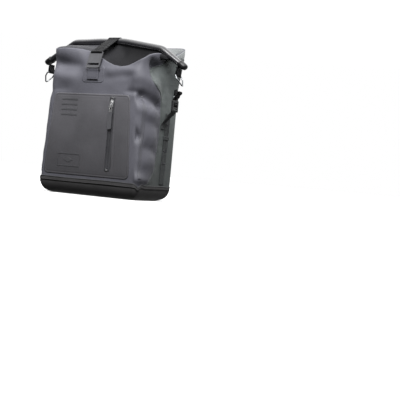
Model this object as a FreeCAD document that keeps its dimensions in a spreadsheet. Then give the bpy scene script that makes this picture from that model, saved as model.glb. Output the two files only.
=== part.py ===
import FreeCAD, Part
import Sketcher

import math
import os

# Roll-top saddle bag.  +X is the bag's right seen from its outer face, -Y points out of that
# face, +Y points to the vehicle and +Z is up.  The origin is the centre of the four bolt holes
# on the back of the mounting plate.  Lengths are in millimetres.

DIMENSIONS = {
    # shell of the bag; heights are measured up from the bottom of the boot
    "base_drop": 252, "bag_width": 336, "bag_depth": 205, "corner_radius": 30, "fabric": 3,
    "boot_height": 40, "boot_edge": 16, "rim_height": 425, "rear_height": 464,
    "lean_low": 380, "lean_top_out": 188, "gusset_front": 175, "gusset_rear": 105, "gusset_bulge": 12,
    "gusset_top": 412,
    "seam_width": 14, "seam_thick": 0.8, "seam_low": 60, "seam_high": 300, "seam_turn": 25,
    # stiffeners and mounting plate
    "base_board_width": 290, "base_board_depth": 160, "base_board_thick": 2.5,
    "board_width": 300, "board_height": 400, "board_thick": 3,
    "plate_width": 240, "plate_height": 220, "plate_thick": 3, "plate_radius": 18,
    "bolt_across": 180, "bolt_up": 160, "bolt_hole": 3.25,
    "rivet_across": 210, "rivet_up": 196, "rivet_radius": 2.4, "rivet_head": 5,
    "rivet_head_thick": 1.6,
    # outer pocket and its zip
    "pocket_width": 264, "pocket_height": 242, "pocket_radius": 14, "pocket_thick": 2,
    "pocket_across": -6, "pocket_up": 177,
    "zip_across": 67, "zip_up": 183.5, "zip_length": 207, "zip_slit": 5.2,
    "zip_coil_wide": 5, "zip_coil_thick": 1.6,
    "tape_wide": 9.2, "tape_thick": 0.8, "tape_gap": 0.6, "tape_length": 215,
    "stop_wide": 6, "stop_tall": 4, "stop_thick": 1.6, "stop_inset": 3,
    "slider_wide": 11, "slider_tall": 20, "slider_thick": 3.2, "slider_up": 272, "slider_gap": 0.3,
    "bridge_wide": 4, "bridge_tall": 12, "bridge_thick": 4.6, "pin_radius": 1.1, "pin_bore": 1.15,
    "pull_wide": 10, "pull_length": 25, "pull_thick": 2.5, "pull_fork": 10, "pull_eye": 2.4,
    "leg_thick": 1.6, "leg_gap": 0.4, "tab_wide": 13, "tab_length": 50, "tab_thick": 3.4, "tab_radius": 3,
    # raised marks on the pocket
    "badge_width": 81, "badge_height": 39, "badge_frame": 3, "badge_thick": 0.8,
    "badge_across": -71.5, "badge_up": 100.5,
    "rib_width": 56, "rib_height": 5, "rib_pitch": 15, "rib_count": 4, "rib_across": -82, "rib_up": 232,
    # closing strap and its anchor patch
    "strap_across": -8, "strap_width": 38, "strap_thick": 2.2,
    "patch_width": 76, "patch_height": 50, "patch_radius": 10, "patch_thick": 1.2, "patch_up": 355,
    "anchor_low": 336, "anchor_bar_up": 368, "anchor_sleeve": 3.4, "anchor_bar": 1.8,
    "anchor_bar_length": 46,
    "hook_width": 46, "hook_height": 53, "hook_thick": 3, "hook_axis_out": 197.4, "hook_axis_up": 420,
    "hook_bar": 2, "loop_bore": 2.35, "loop_outer": 4.4, "hook_slot": 8, "hook_catch": 7,
    "hook_catch_up": 10, "hook_corner": 5, "hook_tilt": 19,
    # rolled closure; its hinge line is the rear top edge
    "hinge_out": 4.5, "hinge_up": 466, "roll_out": 105, "roll_deep": 30, "roll_tall": 24, "roll_bend": 36,
    "roll_arch": 200, "left_tip_across": -246, "left_tip_up": 407, "left_bend_across": -150,
    "left_bend_up": 463, "arch_across": 20, "arch_up": 467, "right_bend_across": 158,
    "right_bend_up": 446, "right_tip_across": 228, "right_tip_up": 401,
    "stay_left": -132, "stay_right": 138, "stay_wide": 18, "stay_thick": 1.5, "stay_spare": 0.2,
    "cap_length": 16, "cap_deep": 34, "cap_tall": 28, "cap_round": 5,
    "neck_front_out": 186, "neck_top_out": 118, "neck_low": 427, "neck_run": 6, "neck_knee": 84, "knee_rise": 1, "neck_width": 306,
    "neck_gap": 1.2, "neck_left_top": 447, "neck_arch_top": 453.4, "neck_right_top": 432.4,
    # side fastenings
    "side_strap": 25, "right_bar_across": 217, "left_bar_across": 238, "end_bar_up": 371,
    "ring_wire": 2, "ring_wide": 35, "ring_long": 38, "ring_tilt": 30, "end_strap_rise": 19,
    "webbing_out": 62, "webbing_low": 49, "webbing_high": 262, "webbing_thick": 2,
    "keeper_up": 183, "keeper_tall": 12, "keeper_thick": 1.6,
    "adjuster_out": 88, "adjuster_across": 206, "adjuster_up": 270, "adjuster_wide": 34,
    "adjuster_tall": 30, "adjuster_thick": 5, "adjuster_corner": 3.5, "adjuster_bar": 5, "adjuster_slot": 4,
    "daisy_wide": 20, "daisy_out": 12, "daisy_rise": 26, "tail_low": 213, "tail_sewn": 12,
    "dring_out": 26, "dring_up": 318, "dring_wide": 26, "dring_long": 24, "dring_wire": 1.8,
    "dring_loop": 4.2, "dring_bore": 2.1, "dring_loop_wide": 18, "dring_tail": 20, "dring_tail_thick": 1.6,
    "rear_corner": 12,
}
# sizes that follow from the ones above
DIMENSIONS["wall_depth"] = DIMENSIONS["bag_depth"] - DIMENSIONS["plate_thick"]
DIMENSIONS["wall_middle"] = DIMENSIONS["plate_thick"] + DIMENSIONS["wall_depth"] / 2
DIMENSIONS["wall_height"] = DIMENSIONS["rim_height"] - DIMENSIONS["boot_height"]
DIMENSIONS["rear_tall"] = DIMENSIONS["rear_height"] - DIMENSIONS["boot_height"]
DIMENSIONS["inner_width"] = DIMENSIONS["bag_width"] - 2 * DIMENSIONS["fabric"]
DIMENSIONS["inner_depth"] = DIMENSIONS["wall_depth"] - 2 * DIMENSIONS["fabric"]
DIMENSIONS["inner_radius"] = DIMENSIONS["corner_radius"] - DIMENSIONS["fabric"]
DIMENSIONS["pocket_out"] = DIMENSIONS["bag_depth"] + DIMENSIONS["pocket_thick"]
DIMENSIONS["tape_out"] = DIMENSIONS["pocket_out"] + DIMENSIONS["tape_thick"]

SIDES = {"right": 1, "left": -1}

doc = FreeCAD.newDocument("saddle_bag")
sheet = doc.addObject("Spreadsheet::Sheet", "Dimensions")
for row, (alias, value) in enumerate(DIMENSIONS.items(), start=1):
    sheet.set("A%d" % row, alias)
    sheet.set("B%d" % row, str(value))
    sheet.setAlias("B%d" % row, alias)
doc.recompute()


def size(alias):
    """A driving dimension as the sheet holds it."""
    return float(getattr(sheet, alias))


def cells(text):
    """Put the sheet's name before each alias of an expression."""
    words = []
    for word in text.split():
        words.append("Dimensions." + word if word in DIMENSIONS else word)
    return " ".join(words)


def bind(thing, **bindings):
    """Bind properties to sheet expressions; double underscores stand for dots."""
    for name, text in bindings.items():
        thing.setExpression(name.replace("__", "."), cells(text))


def place(thing, across="0", out="0", height="base_drop", turn=None):
    """Place a sub-part: across along X, out along -Y and at a height above the boot's bottom."""
    if turn is not None:
        thing.Placement = FreeCAD.Placement(FreeCAD.Vector(), turn)
    thing.setExpression("Placement.Base.x", cells(across))
    thing.setExpression("Placement.Base.y", cells("- ( " + out + " )"))
    thing.setExpression("Placement.Base.z", cells(height + " - base_drop"))


# ---------------------------------------------------------------- sketches and PartDesign bodies

def new_body(name):
    body = doc.addObject("PartDesign::Body", name)
    body.Label = name
    return body


def new_sketch(body, role, name):
    """A sketch on one of the body's own origin planes."""
    sketch = body.newObject("Sketcher::SketchObject", name)
    plane = [item for item in body.Origin.OriginFeatures if item.Role == role][0]
    sketch.AttachmentSupport = (plane, [""])
    sketch.MapMode = "FlatFace"
    return sketch


def drive(sketch, index, name, text):
    """Name one dimensional constraint and bind it to the sheet."""
    sketch.renameConstraint(index, name)
    sketch.setExpression("Constraints." + name, cells(text))


def add_rounded_rectangle(sketch, tag, width, height, radius):
    """A rectangle with rounded corners, centred on the sketch's origin; sizes are aliases."""
    wide, tall, rad = size(width) / 2, size(height) / 2, size(radius)
    flat = FreeCAD.Vector(0, 0, 1)
    first = sketch.GeometryCount
    corners = [(wide - rad, rad - tall, -90), (wide - rad, tall - rad, 0),
               (rad - wide, tall - rad, 90), (rad - wide, rad - tall, 180)]
    for x, y, start in corners:
        circle = Part.Circle(FreeCAD.Vector(x, y, 0), flat, rad)
        arc = Part.ArcOfCircle(circle, math.radians(start), math.radians(start + 90))
        sketch.addGeometry(arc, False)
    for index in range(4):
        begin = sketch.getPoint(first + index, 2)
        end = sketch.getPoint(first + (index + 1) % 4, 1)
        sketch.addGeometry(Part.LineSegment(begin, end), False)
        sketch.addConstraint(Sketcher.Constraint("Tangent", first + index, 2, first + 4 + index, 1))
        sketch.addConstraint(
            Sketcher.Constraint("Tangent", first + 4 + index, 2, first + (index + 1) % 4, 1))
    for index in range(1, 4):
        sketch.addConstraint(Sketcher.Constraint("Equal", first, first + index))
    sketch.addConstraint(Sketcher.Constraint("Vertical", first + 4))
    sketch.addConstraint(Sketcher.Constraint("Horizontal", first + 5))
    sketch.addConstraint(Sketcher.Constraint("Symmetric", first, 3, first + 2, 3, -1, 1))
    drive(sketch, sketch.addConstraint(Sketcher.Constraint("Radius", first, rad)), tag + "_radius", radius)
    across = Sketcher.Constraint("DistanceX", first + 2, 3, first, 3, 2 * (wide - rad))
    drive(sketch, sketch.addConstraint(across), tag + "_across", "%s - 2 * %s" % (width, radius))
    along = Sketcher.Constraint("DistanceY", first, 3, first + 2, 3, 2 * (tall - rad))
    drive(sketch, sketch.addConstraint(along), tag + "_along", "%s - 2 * %s" % (height, radius))


def add_hole(sketch, tag, x, y, x_text, y_text, radius):
    """A round hole whose centre and radius follow the sheet."""
    circle = Part.Circle(FreeCAD.Vector(x, y, 0), FreeCAD.Vector(0, 0, 1), size(radius))
    index = sketch.addGeometry(circle, False)
    drive(sketch, sketch.addConstraint(Sketcher.Constraint("DistanceX", -1, 1, index, 3, x)),
          tag + "_x", x_text)
    drive(sketch, sketch.addConstraint(Sketcher.Constraint("DistanceY", -1, 1, index, 3, y)),
          tag + "_y", y_text)
    drive(sketch, sketch.addConstraint(Sketcher.Constraint("Radius", index, size(radius))),
          tag + "_radius", radius)


def add_pad(body, sketch, length):
    pad = body.newObject("PartDesign::Pad", body.Name + "_pad")
    pad.Profile = sketch
    bind(pad, Length=length)
    doc.recompute()
    return pad


def add_cut(body, sketch, tag, length, reverse=False):
    """A pocket, which has to take material away."""
    before = body.Shape.Volume
    cut = body.newObject("PartDesign::Pocket", body.Name + "_" + tag)
    cut.Profile = sketch
    cut.Reversed = reverse
    bind(cut, Length=length)
    doc.recompute()
    if body.Shape.Volume >= before:
        raise RuntimeError(body.Name + " " + tag + " cuts nothing")
    return cut


def upright_plate(name, width, height, radius, thick, bolts=False):
    """A rounded plate in the XZ plane that rises towards -Y, drilled for bolts and rivets if asked."""
    body = new_body(name)
    sketch = new_sketch(body, "XZ_Plane", name + "_outline")
    add_rounded_rectangle(sketch, "outline", width, height, radius)
    if bolts:
        for word, sign in SIDES.items():
            side = "%+d * bolt_across / 2" % sign
            for level, lift in (("top", 1), ("low", -1)):
                add_hole(sketch, "bolt_%s_%s" % (word, level), sign * size("bolt_across") / 2,
                         lift * size("bolt_up") / 2, side, "%+d * bolt_up / 2" % lift, "bolt_hole")
            side = "%+d * rivet_across / 2" % sign
            for level, lift in (("top", 1), ("mid", 0), ("low", -1)):
                add_hole(sketch, "rivet_%s_%s" % (word, level), sign * size("rivet_across") / 2,
                         lift * size("rivet_up") / 2, side, "%+d * rivet_up / 2" % lift, "rivet_radius")
    add_pad(body, sketch, thick)
    return body


# ---------------------------------------------------------------- shapes made with Part's own functions

def solid_part(name, shape):
    """A sub-part whose shape is worked out here from the sheet's sizes."""
    thing = doc.addObject("Part::Feature", name)
    thing.Label = name
    thing.Shape = shape
    return thing


def prism(points, width, middle=0):
    """A closed outline in the XZ plane, extruded along Y about a middle."""
    corners = [FreeCAD.Vector(x, middle - width / 2, z) for x, z in points]
    face = Part.Face(Part.makePolygon(corners + corners[:1]))
    return face.extrude(FreeCAD.Vector(0, width, 0))


def ribbon(points, thick, width):
    """A flat strap whose middle line is a list of (x, z) points, mitred where it bends."""
    line = [FreeCAD.Vector(x, 0, z) for x, z in points]
    upper, lower = [], []
    for index, point in enumerate(line):
        back = line[max(index - 1, 0)]
        ahead = line[min(index + 1, len(line) - 1)]
        before = (point - back).normalize() if index else (ahead - point).normalize()
        after = (ahead - point).normalize() if index < len(line) - 1 else before
        middle = (before + after).normalize()
        normal = FreeCAD.Vector(-middle.z, 0, middle.x) * (thick / 2 / middle.dot(before))
        upper.append(((point + normal).x, (point + normal).z))
        lower.append(((point - normal).x, (point - normal).z))
    return prism(upper + lower[::-1], width)


def rod(radius, length, x=0, z=0):
    """A round bar along Y, centred on it."""
    return Part.makeCylinder(radius, length, FreeCAD.Vector(x, -length / 2, z), FreeCAD.Vector(0, 1, 0))


def box(wide, deep, tall, x=0, y=0, z=0):
    """A block centred on x and y, standing on z."""
    return Part.makeBox(wide, deep, tall, FreeCAD.Vector(x - wide / 2, y - deep / 2, z))


def rounded_wire(points, radii, closed):
    """Straight runs through corner points in one plane, each corner rounded with a tangent arc."""
    corners = [FreeCAD.Vector(*point) for point in points]
    count = len(corners)
    arcs = {}
    for index in range(count) if closed else range(1, count - 1):
        corner, radius = corners[index], radii[index]
        back = (corners[index - 1] - corner).normalize()
        ahead = (corners[(index + 1) % count] - corner).normalize()
        half = back.getAngle(ahead) / 2
        reach = radius / math.tan(half)
        centre = corner + (back + ahead).normalize() * (radius / math.sin(half))
        middle = centre + (corner - centre).normalize() * radius
        arcs[index] = (corner + back * reach, middle, corner + ahead * reach)
    edges = []
    for index in range(count if closed else count - 1):
        following = (index + 1) % count
        if index in arcs:
            edges.append(Part.Arc(*arcs[index]).toShape())
        begin = arcs[index][2] if index in arcs else corners[index]
        end = arcs[following][0] if following in arcs else corners[following]
        edges.append(Part.makeLine(begin, end))
    return Part.Wire(edges)


def wire_ring(points, bends, wire):
    """A ring bent from round wire."""
    path = rounded_wire(points, bends, closed=True)
    start = path.Edges[1].valueAt(path.Edges[1].FirstParameter)
    along = path.Edges[1].tangentAt(path.Edges[1].FirstParameter)
    profile = Part.Wire(Part.makeCircle(wire, start, along))
    return path.makePipeShell([profile], True, True)


def oval(deep, tall, at, along):
    """An ellipse with its long side along Y, square to a direction in the XZ plane."""
    side = FreeCAD.Vector(0, deep / 2, 0)
    rise = FreeCAD.Vector(0, 1, 0).cross(along).normalize() * (tall / 2)
    if deep >= tall:
        curve = Part.Ellipse(at + side, at + rise, at)
    else:
        curve = Part.Ellipse(at + rise, at + side, at)
    return Part.Wire(curve.toShape())


QUARTER = FreeCAD.Rotation(FreeCAD.Vector(0, 0, 1), 90)
HALF = FreeCAD.Rotation(FreeCAD.Vector(0, 0, 1), 180)
OUTWARD = QUARTER.inverted()    # turns local +X to the bag's outer side, -Y

# ---------------------------------------------------------------- the shell of the bag


def make_boot():
    """Moulded boot: a shallow tray with rounded corners that the bag stands on."""
    body = new_body("bottom_boot")
    sketch = new_sketch(body, "XY_Plane", "boot_outline")
    add_rounded_rectangle(sketch, "outline", "bag_width", "wall_depth", "corner_radius")
    pad = add_pad(body, sketch, "boot_height")
    low = ["Edge%d" % (index + 1) for index, edge in enumerate(pad.Shape.Edges)
           if edge.BoundBox.ZMax < 0.01]
    rounding = body.newObject("PartDesign::Fillet", "boot_rounding")
    rounding.Base = (pad, low)
    bind(rounding, Radius="boot_edge")
    doc.recompute()
    top = ["Face%d" % (index + 1) for index, face in enumerate(rounding.Shape.Faces)
           if face.BoundBox.ZMin > size("boot_height") - 0.01]
    hollow = body.newObject("PartDesign::Thickness", "boot_hollow")
    hollow.Base = (rounding, top)
    hollow.Reversed = True
    bind(hollow, Value="fabric")
    doc.recompute()
    place(body, out="wall_middle", height="0 * boot_height")


def make_front_panel():
    """Front panel, which turns both front corners of the tube."""
    body = new_body("front_panel")
    outer = new_sketch(body, "XY_Plane", "front_outer")
    add_rounded_rectangle(outer, "outer", "bag_width", "wall_depth", "corner_radius")
    add_pad(body, outer, "wall_height")
    inner = new_sketch(body, "XY_Plane", "front_inner")
    add_rounded_rectangle(inner, "inner", "inner_width", "inner_depth", "inner_radius")
    add_cut(body, inner, "hollow", "wall_height", reverse=True)
    rear = body.newObject("PartDesign::SubtractiveBox", "front_trim")
    bind(rear, Length="bag_width + 20", Width="wall_depth", Height="wall_height + 2")
    bind(rear, Placement__Base__x="- ( bag_width / 2 + 10 )",
         Placement__Base__y="corner_radius - wall_depth / 2", Placement__Base__z="-1")
    notch = body.newObject("PartDesign::SubtractiveBox", "front_notch")
    bind(notch, Length="bag_width - 2 * corner_radius", Width="corner_radius", Height="wall_height")
    bind(notch, Placement__Base__x="corner_radius - bag_width / 2",
         Placement__Base__y="- wall_depth / 2 - 1", Placement__Base__z="lean_low - boot_height")
    doc.recompute()
    place(body, out="wall_middle", height="boot_height")


def make_front_lean():
    """Upper part of the front between the corners, which leans back towards the roll."""
    front, top_out = size("bag_depth"), size("lean_top_out")
    low, top, fabric = size("lean_low"), size("rim_height"), size("fabric")
    outline = [(front, low), (top_out, top), (top_out - fabric, top), (front - fabric, low)]
    panel = solid_part("front_lean", prism(outline, size("bag_width") - 2 * size("corner_radius")))
    place(panel, height="0 * base_drop", turn=OUTWARD)


def arc_band(name, low, high, radius, thick, span):
    """Upright wall curved about a line through its own origin; it bulges towards +X."""
    body = new_body(name)
    sketch = new_sketch(body, "XY_Plane", name + "_plan")
    outer, inner = radius + thick, radius
    flat = FreeCAD.Vector(0, 0, 1)
    turn = math.radians(span / 2)
    for rad in (outer, inner):
        sketch.addGeometry(Part.ArcOfCircle(Part.Circle(FreeCAD.Vector(), flat, rad), -turn, turn), False)
    for side in (1, 2):
        begin = sketch.getPoint(0, side)
        end = sketch.getPoint(1, side)
        sketch.addGeometry(Part.LineSegment(begin, end), False)
        sketch.addConstraint(Sketcher.Constraint("Coincident", 0, side, side + 1, 1))
        sketch.addConstraint(Sketcher.Constraint("Coincident", 1, side, side + 1, 2))
    sketch.addConstraint(Sketcher.Constraint("Coincident", 0, 3, -1, 1))
    sketch.addConstraint(Sketcher.Constraint("Coincident", 1, 3, -1, 1))
    sketch.addConstraint(Sketcher.Constraint("Radius", 0, outer))
    sketch.addConstraint(Sketcher.Constraint("Radius", 1, inner))
    add_pad(body, sketch, "%s - %s" % (high, low))
    return body


def make_gussets():
    """Soft side gussets, bowed outwards."""
    chord = size("gusset_front") - size("gusset_rear")
    bulge = size("gusset_bulge")
    radius = (chord ** 2 / 4 + bulge ** 2) / (2 * bulge)
    span = 2 * math.degrees(math.asin(chord / 2 / radius))
    middle = "( gusset_front + gusset_rear ) / 2"
    for word, sign in SIDES.items():
        gusset = arc_band("gusset_" + word, "boot_height", "gusset_top",
                          radius - size("fabric"), size("fabric"), span)
        across = "%+d * ( bag_width / 2 + gusset_bulge - %.6f )" % (sign, radius)
        place(gusset, across, middle, "boot_height", turn=HALF if sign < 0 else None)


def make_seam_tapes():
    """Welded tapes over the seams that run down the front corners."""
    radius = size("corner_radius")
    span = math.degrees(size("seam_width") / radius)
    for word, sign in SIDES.items():
        tape = arc_band("seam_tape_" + word, "seam_low", "seam_high", radius, size("seam_thick"), span)
        lean = -size("seam_turn") if sign > 0 else 180 + size("seam_turn")
        place(tape, "%+d * ( bag_width / 2 - corner_radius )" % sign, "bag_depth - corner_radius",
              "seam_low", turn=FreeCAD.Rotation(FreeCAD.Vector(0, 0, 1), lean))


def make_side_strips():
    """Firm rear strips of the sides."""
    for word, sign in SIDES.items():
        strip = doc.addObject("Part::Box", "side_strip_" + word)
        strip.Label = "side_strip_" + word
        bind(strip, Length="fabric", Width="gusset_rear - 2 * fabric", Height="wall_height")
        across = "bag_width / 2 - fabric" if sign > 0 else "- bag_width / 2"
        place(strip, across, "gusset_rear", "boot_height")


def make_back():
    """Rear panel, stiffening board and aluminium plate, riveted together and drilled for the bolts."""
    panel = upright_plate("rear_panel", "bag_width", "rear_tall", "rear_corner", "fabric", bolts=True)
    board = upright_plate("back_board", "board_width", "board_height", "plate_radius", "board_thick",
                          bolts=True)
    plate = upright_plate("back_plate", "plate_width", "plate_height", "plate_radius", "plate_thick",
                          bolts=True)
    place(panel, out="plate_thick")
    place(board, out="plate_thick + fabric")
    place(plate)
    base = doc.addObject("Part::Box", "base_board")
    base.Label = "base_board"
    bind(base, Length="base_board_width", Width="base_board_depth", Height="base_board_thick")
    place(base, "- base_board_width / 2", "wall_middle + base_board_depth / 2", "fabric")
    depth = size("plate_thick") + size("fabric") + size("board_thick")
    turn = FreeCAD.Rotation(FreeCAD.Vector(1, 0, 0), 90)
    rivets = []
    for sign in (1, -1):
        for lift in (1, 0, -1):
            shank = Part.makeCylinder(size("rivet_radius"), depth)
            head = Part.makeCylinder(size("rivet_head"), size("rivet_head_thick"),
                                     FreeCAD.Vector(0, 0, depth))
            rivet = shank.fuse(head).removeSplitter()
            spot = FreeCAD.Vector(sign * size("rivet_across") / 2, lift * size("rivet_up") / 2, 0)
            rivet.translate(spot)
            rivets.append(rivet)
    group = solid_part("plate_rivets", Part.makeCompound(rivets))
    place(group, turn=turn)


def make_pocket():
    """Flat welded pocket with its zip."""
    pocket = upright_plate("front_pocket", "pocket_width", "pocket_height", "pocket_radius",
                           "pocket_thick")
    slit = pocket.newObject("PartDesign::SubtractiveBox", "pocket_slit")
    bind(slit, Length="zip_slit", Width="pocket_thick + 2", Height="zip_length + 0.2")
    bind(slit, Placement__Base__x="zip_across - pocket_across - zip_slit / 2",
         Placement__Base__y="- pocket_thick - 1",
         Placement__Base__z="zip_up - pocket_up - zip_length / 2 - 0.1")
    doc.recompute()
    place(pocket, "pocket_across", "bag_depth", "pocket_up")
    coil = doc.addObject("Part::Box", "zip_coil")
    coil.Label = "zip_coil"
    bind(coil, Length="zip_coil_wide", Width="zip_coil_thick", Height="zip_length")
    place(coil, "zip_across - zip_coil_wide / 2", "bag_depth + zip_coil_thick",
          "zip_up - zip_length / 2")
    for word, sign in SIDES.items():
        tape = doc.addObject("Part::Box", "zip_tape_" + word)
        tape.Label = "zip_tape_" + word
        bind(tape, Length="tape_wide", Width="tape_thick", Height="tape_length")
        edge = "tape_gap / 2" if sign > 0 else "- tape_gap / 2 - tape_wide"
        place(tape, "zip_across + " + edge, "tape_out", "zip_up - tape_length / 2")
    stops = []
    for lift in (1, -1):
        stop = box(size("stop_wide"), size("stop_thick"), size("stop_tall"),
                   z=lift * (size("tape_length") / 2 - size("stop_inset")) - size("stop_tall") / 2)
        stops.append(stop)
    group = solid_part("zip_stops", Part.makeCompound(stops))
    place(group, "zip_across", "tape_out + stop_thick / 2", "zip_up")


def make_zip_slider():
    """Slider body with a bridge, and the metal pull that hangs from the bridge by a pin."""
    wide, tall, thick = size("slider_wide"), size("slider_tall"), size("slider_thick")
    nose = tall * 0.3
    outline = [(-wide / 2, tall / 2 - nose), (-wide / 4, tall / 2), (wide / 4, tall / 2),
               (wide / 2, tall / 2 - nose), (wide / 2 - 1, -tall / 2), (1 - wide / 2, -tall / 2)]
    base = prism(outline, thick, -thick / 2)
    bridge = box(size("bridge_wide"), size("bridge_thick"), size("bridge_tall"),
                 y=-thick - size("bridge_thick") / 2, z=-size("bridge_tall") / 2)
    pin_out = -thick - size("bridge_thick") / 2
    along = FreeCAD.Vector(1, 0, 0)
    bore = Part.makeCylinder(size("pin_bore"), wide, FreeCAD.Vector(-wide / 2, pin_out, 0), along)
    slider = solid_part("zip_slider", base.fuse(bridge).removeSplitter().cut(bore))
    place(slider, "zip_across", "tape_out + slider_gap", "slider_up")

    leg, gap = size("leg_thick"), size("bridge_wide") / 2 + size("leg_gap")
    reach, plate = size("pull_fork"), size("pull_thick")
    pin_long = 2 * (gap + leg)
    pull = Part.makeCylinder(size("pin_radius"), pin_long, FreeCAD.Vector(-pin_long / 2, 0, 0), along)
    for sign in SIDES.values():
        pull = pull.fuse(box(leg, plate, reach + 1.4, x=sign * (gap + leg / 2), z=-reach))
    link = box(size("pull_wide"), plate, size("pull_length") - reach, z=-size("pull_length"))
    eye = Part.makeCylinder(size("pull_eye"), 2 * plate, FreeCAD.Vector(0, plate, -reach - 6),
                            FreeCAD.Vector(0, -1, 0))
    metal = solid_part("zip_pull", pull.fuse(link).removeSplitter().cut(eye))
    tab = box(size("tab_wide"), size("tab_thick"), size("tab_length"),
              z=-size("pull_length") - size("tab_length"))
    upright = [edge for edge in tab.Edges if edge.BoundBox.YLength > 1]
    rubber = solid_part("pull_tab", tab.makeFillet(size("tab_radius"), upright))
    for thing in (metal, rubber):
        place(thing, "zip_across", "tape_out + slider_gap + slider_thick + bridge_thick / 2", "slider_up")


def make_marks():
    """Raised plain frame with a plain lozenge, and a row of plain ribs."""
    wide, tall, edge = size("badge_width"), size("badge_height"), size("badge_frame")
    thick = size("badge_thick")
    ring = box(wide, thick, tall, z=-tall / 2)
    ring = ring.cut(box(wide - 2 * edge, 2 * thick, tall - 2 * edge, z=edge - tall / 2))
    lozenge = prism([(-wide / 5, 0), (0, tall / 5), (wide / 5, 0), (0, -tall / 5)], thick)
    badge = solid_part("badge_frame", Part.makeCompound([ring, lozenge]))
    place(badge, "badge_across", "pocket_out + badge_thick / 2", "badge_up")
    ribs = []
    for index in range(int(size("rib_count"))):
        ribs.append(box(size("rib_width"), thick, size("rib_height"), z=index * size("rib_pitch")))
    group = solid_part("pocket_ribs", Part.makeCompound(ribs))
    place(group, "rib_across", "pocket_out + badge_thick / 2", "rib_up")


def make_patch():
    """Patch on the upper front with the webbing and bar that the strap's hook meets."""
    patch = upright_plate("buckle_patch", "patch_width", "patch_height", "patch_radius", "patch_thick")
    place(patch, "strap_across", "bag_depth", "patch_up")
    sleeve, thick = size("anchor_sleeve"), size("webbing_thick")
    width, rise = size("strap_width"), size("anchor_bar_up") - size("anchor_low")
    tail = box(thick, width, rise, x=thick / 2)
    tube = rod(sleeve, width, sleeve, rise)
    webbing = tail.fuse(tube).removeSplitter().cut(rod(size("anchor_bar"), width + 2, sleeve, rise))
    anchor = solid_part("patch_webbing", webbing)
    place(anchor, "strap_across", "bag_depth + patch_thick", "anchor_low", turn=OUTWARD)
    bar = solid_part("patch_bar", rod(size("anchor_bar"), size("anchor_bar_length")))
    place(bar, "strap_across", "bag_depth + patch_thick + anchor_sleeve", "anchor_bar_up",
          turn=QUARTER)


# ---------------------------------------------------------------- side fastenings on the bag


def make_side_webbing():
    """Webbing sewn down each rear strip, its keepers and the straps that rise to the adjusters."""
    for word, sign in SIDES.items():
        turn = HALF if sign < 0 else None
        tall = size("webbing_high") - size("webbing_low")
        strip = box(size("webbing_thick"), size("side_strap"), tall, x=size("webbing_thick") / 2)
        webbing = solid_part("side_webbing_" + word, strip)
        place(webbing, "%+d * bag_width / 2" % sign, "webbing_out", "webbing_low", turn=turn)
        keep = size("keeper_thick")
        band = box(size("webbing_thick") + keep, size("side_strap") + 2 * keep, size("keeper_tall"),
                   x=(size("webbing_thick") + keep) / 2)
        hole = box(size("webbing_thick"), size("side_strap"), size("keeper_tall") + 2,
                   x=size("webbing_thick") / 2, z=-1)
        keeper = solid_part("webbing_keeper_" + word, band.cut(hole))
        place(keeper, "%+d * bag_width / 2" % sign, "webbing_out", "keeper_up", turn=turn)

        flush = size("bag_width") / 2 + size("webbing_thick") / 2 - size("adjuster_across")
        low = size("tail_low") - size("adjuster_up")
        path = [(flush, low), (flush, low + size("tail_sewn")), (flush / 2, low * 0.4), (-3, -2.4)]
        wide = size("daisy_wide")
        strap = ribbon(path, size("webbing_thick"), wide).fuse(rod(size("loop_outer"), wide))
        strap = strap.removeSplitter().cut(rod(size("loop_bore"), wide + 2))
        side = solid_part("side_strap_" + word, strap)
        place(side, "%+d * adjuster_across" % sign, "adjuster_out", "adjuster_up", turn=turn)


def make_adjusters():
    """Ladder-lock buckles on the side straps, each with the daisy-chain webbing it holds."""
    wide, tall, thick = size("adjuster_wide"), size("adjuster_tall"), size("adjuster_thick")
    inner = size("daisy_wide") + 1.2
    window = size("loop_outer") + 0.8
    bar, slot = size("adjuster_bar"), size("adjuster_slot")
    for word, sign in SIDES.items():
        turn = HALF if sign < 0 else None
        plate = box(thick, wide, tall + 4, z=-4)
        upright = [edge for edge in plate.Edges if edge.BoundBox.XLength > 1]
        frame = plate.makeFillet(size("adjuster_corner"), upright)
        frame = frame.cut(box(2 * thick, inner, 2 * window, z=-window))
        for count in (0, 1):
            low = window + bar + count * (bar + slot)
            frame = frame.cut(box(2 * thick, inner, slot, z=low))
        frame = frame.fuse(rod(size("hook_bar"), inner + 4))
        lock = solid_part("ladder_lock_" + word, frame.removeSplitter())
        path = [(0, tall), (0, tall + 3), (3, tall + 8), (size("daisy_out"), tall + size("daisy_rise"))]
        daisy = solid_part("daisy_strap_" + word, ribbon(path, size("webbing_thick"), size("daisy_wide")))
        for thing in (lock, daisy):
            place(thing, "%+d * adjuster_across" % sign, "adjuster_out", "adjuster_up", turn=turn)


def make_d_rings():
    """D-rings in sewn loops at the rear edges, to lash the bag or carry a shoulder strap."""
    wide, tall = size("dring_wide") / 2, size("dring_long")
    corners = [(0, -wide, 0), (0, wide, 0), (0, wide, -tall), (0, -wide, -tall)]
    outer, loop_wide, thick = size("dring_loop"), size("dring_loop_wide"), size("dring_tail_thick")
    across = "bag_width / 2 + dring_loop"
    for word, sign in SIDES.items():
        turn = HALF if sign < 0 else None
        ring = solid_part("d_ring_" + word, wire_ring(corners, (3, 3, 11.5, 11.5), size("dring_wire")))
        tail = box(thick, loop_wide, size("dring_tail"), x=thick / 2 - outer)
        loop = tail.fuse(rod(outer, loop_wide)).removeSplitter().cut(rod(size("dring_bore"), loop_wide + 2))
        sewn = solid_part("d_ring_loop_" + word, loop)
        for thing in (ring, sewn):
            place(thing, "%+d * ( %s )" % (sign, across), "dring_out", "dring_up", turn=turn)


# ---------------------------------------------------------------- the rolled closure


def about_hinge(points):
    """Points given as (distance out, height above the boot's bottom), measured from the hinge."""
    return [(out - size("hinge_out"), height - size("hinge_up")) for out, height in points]


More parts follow.
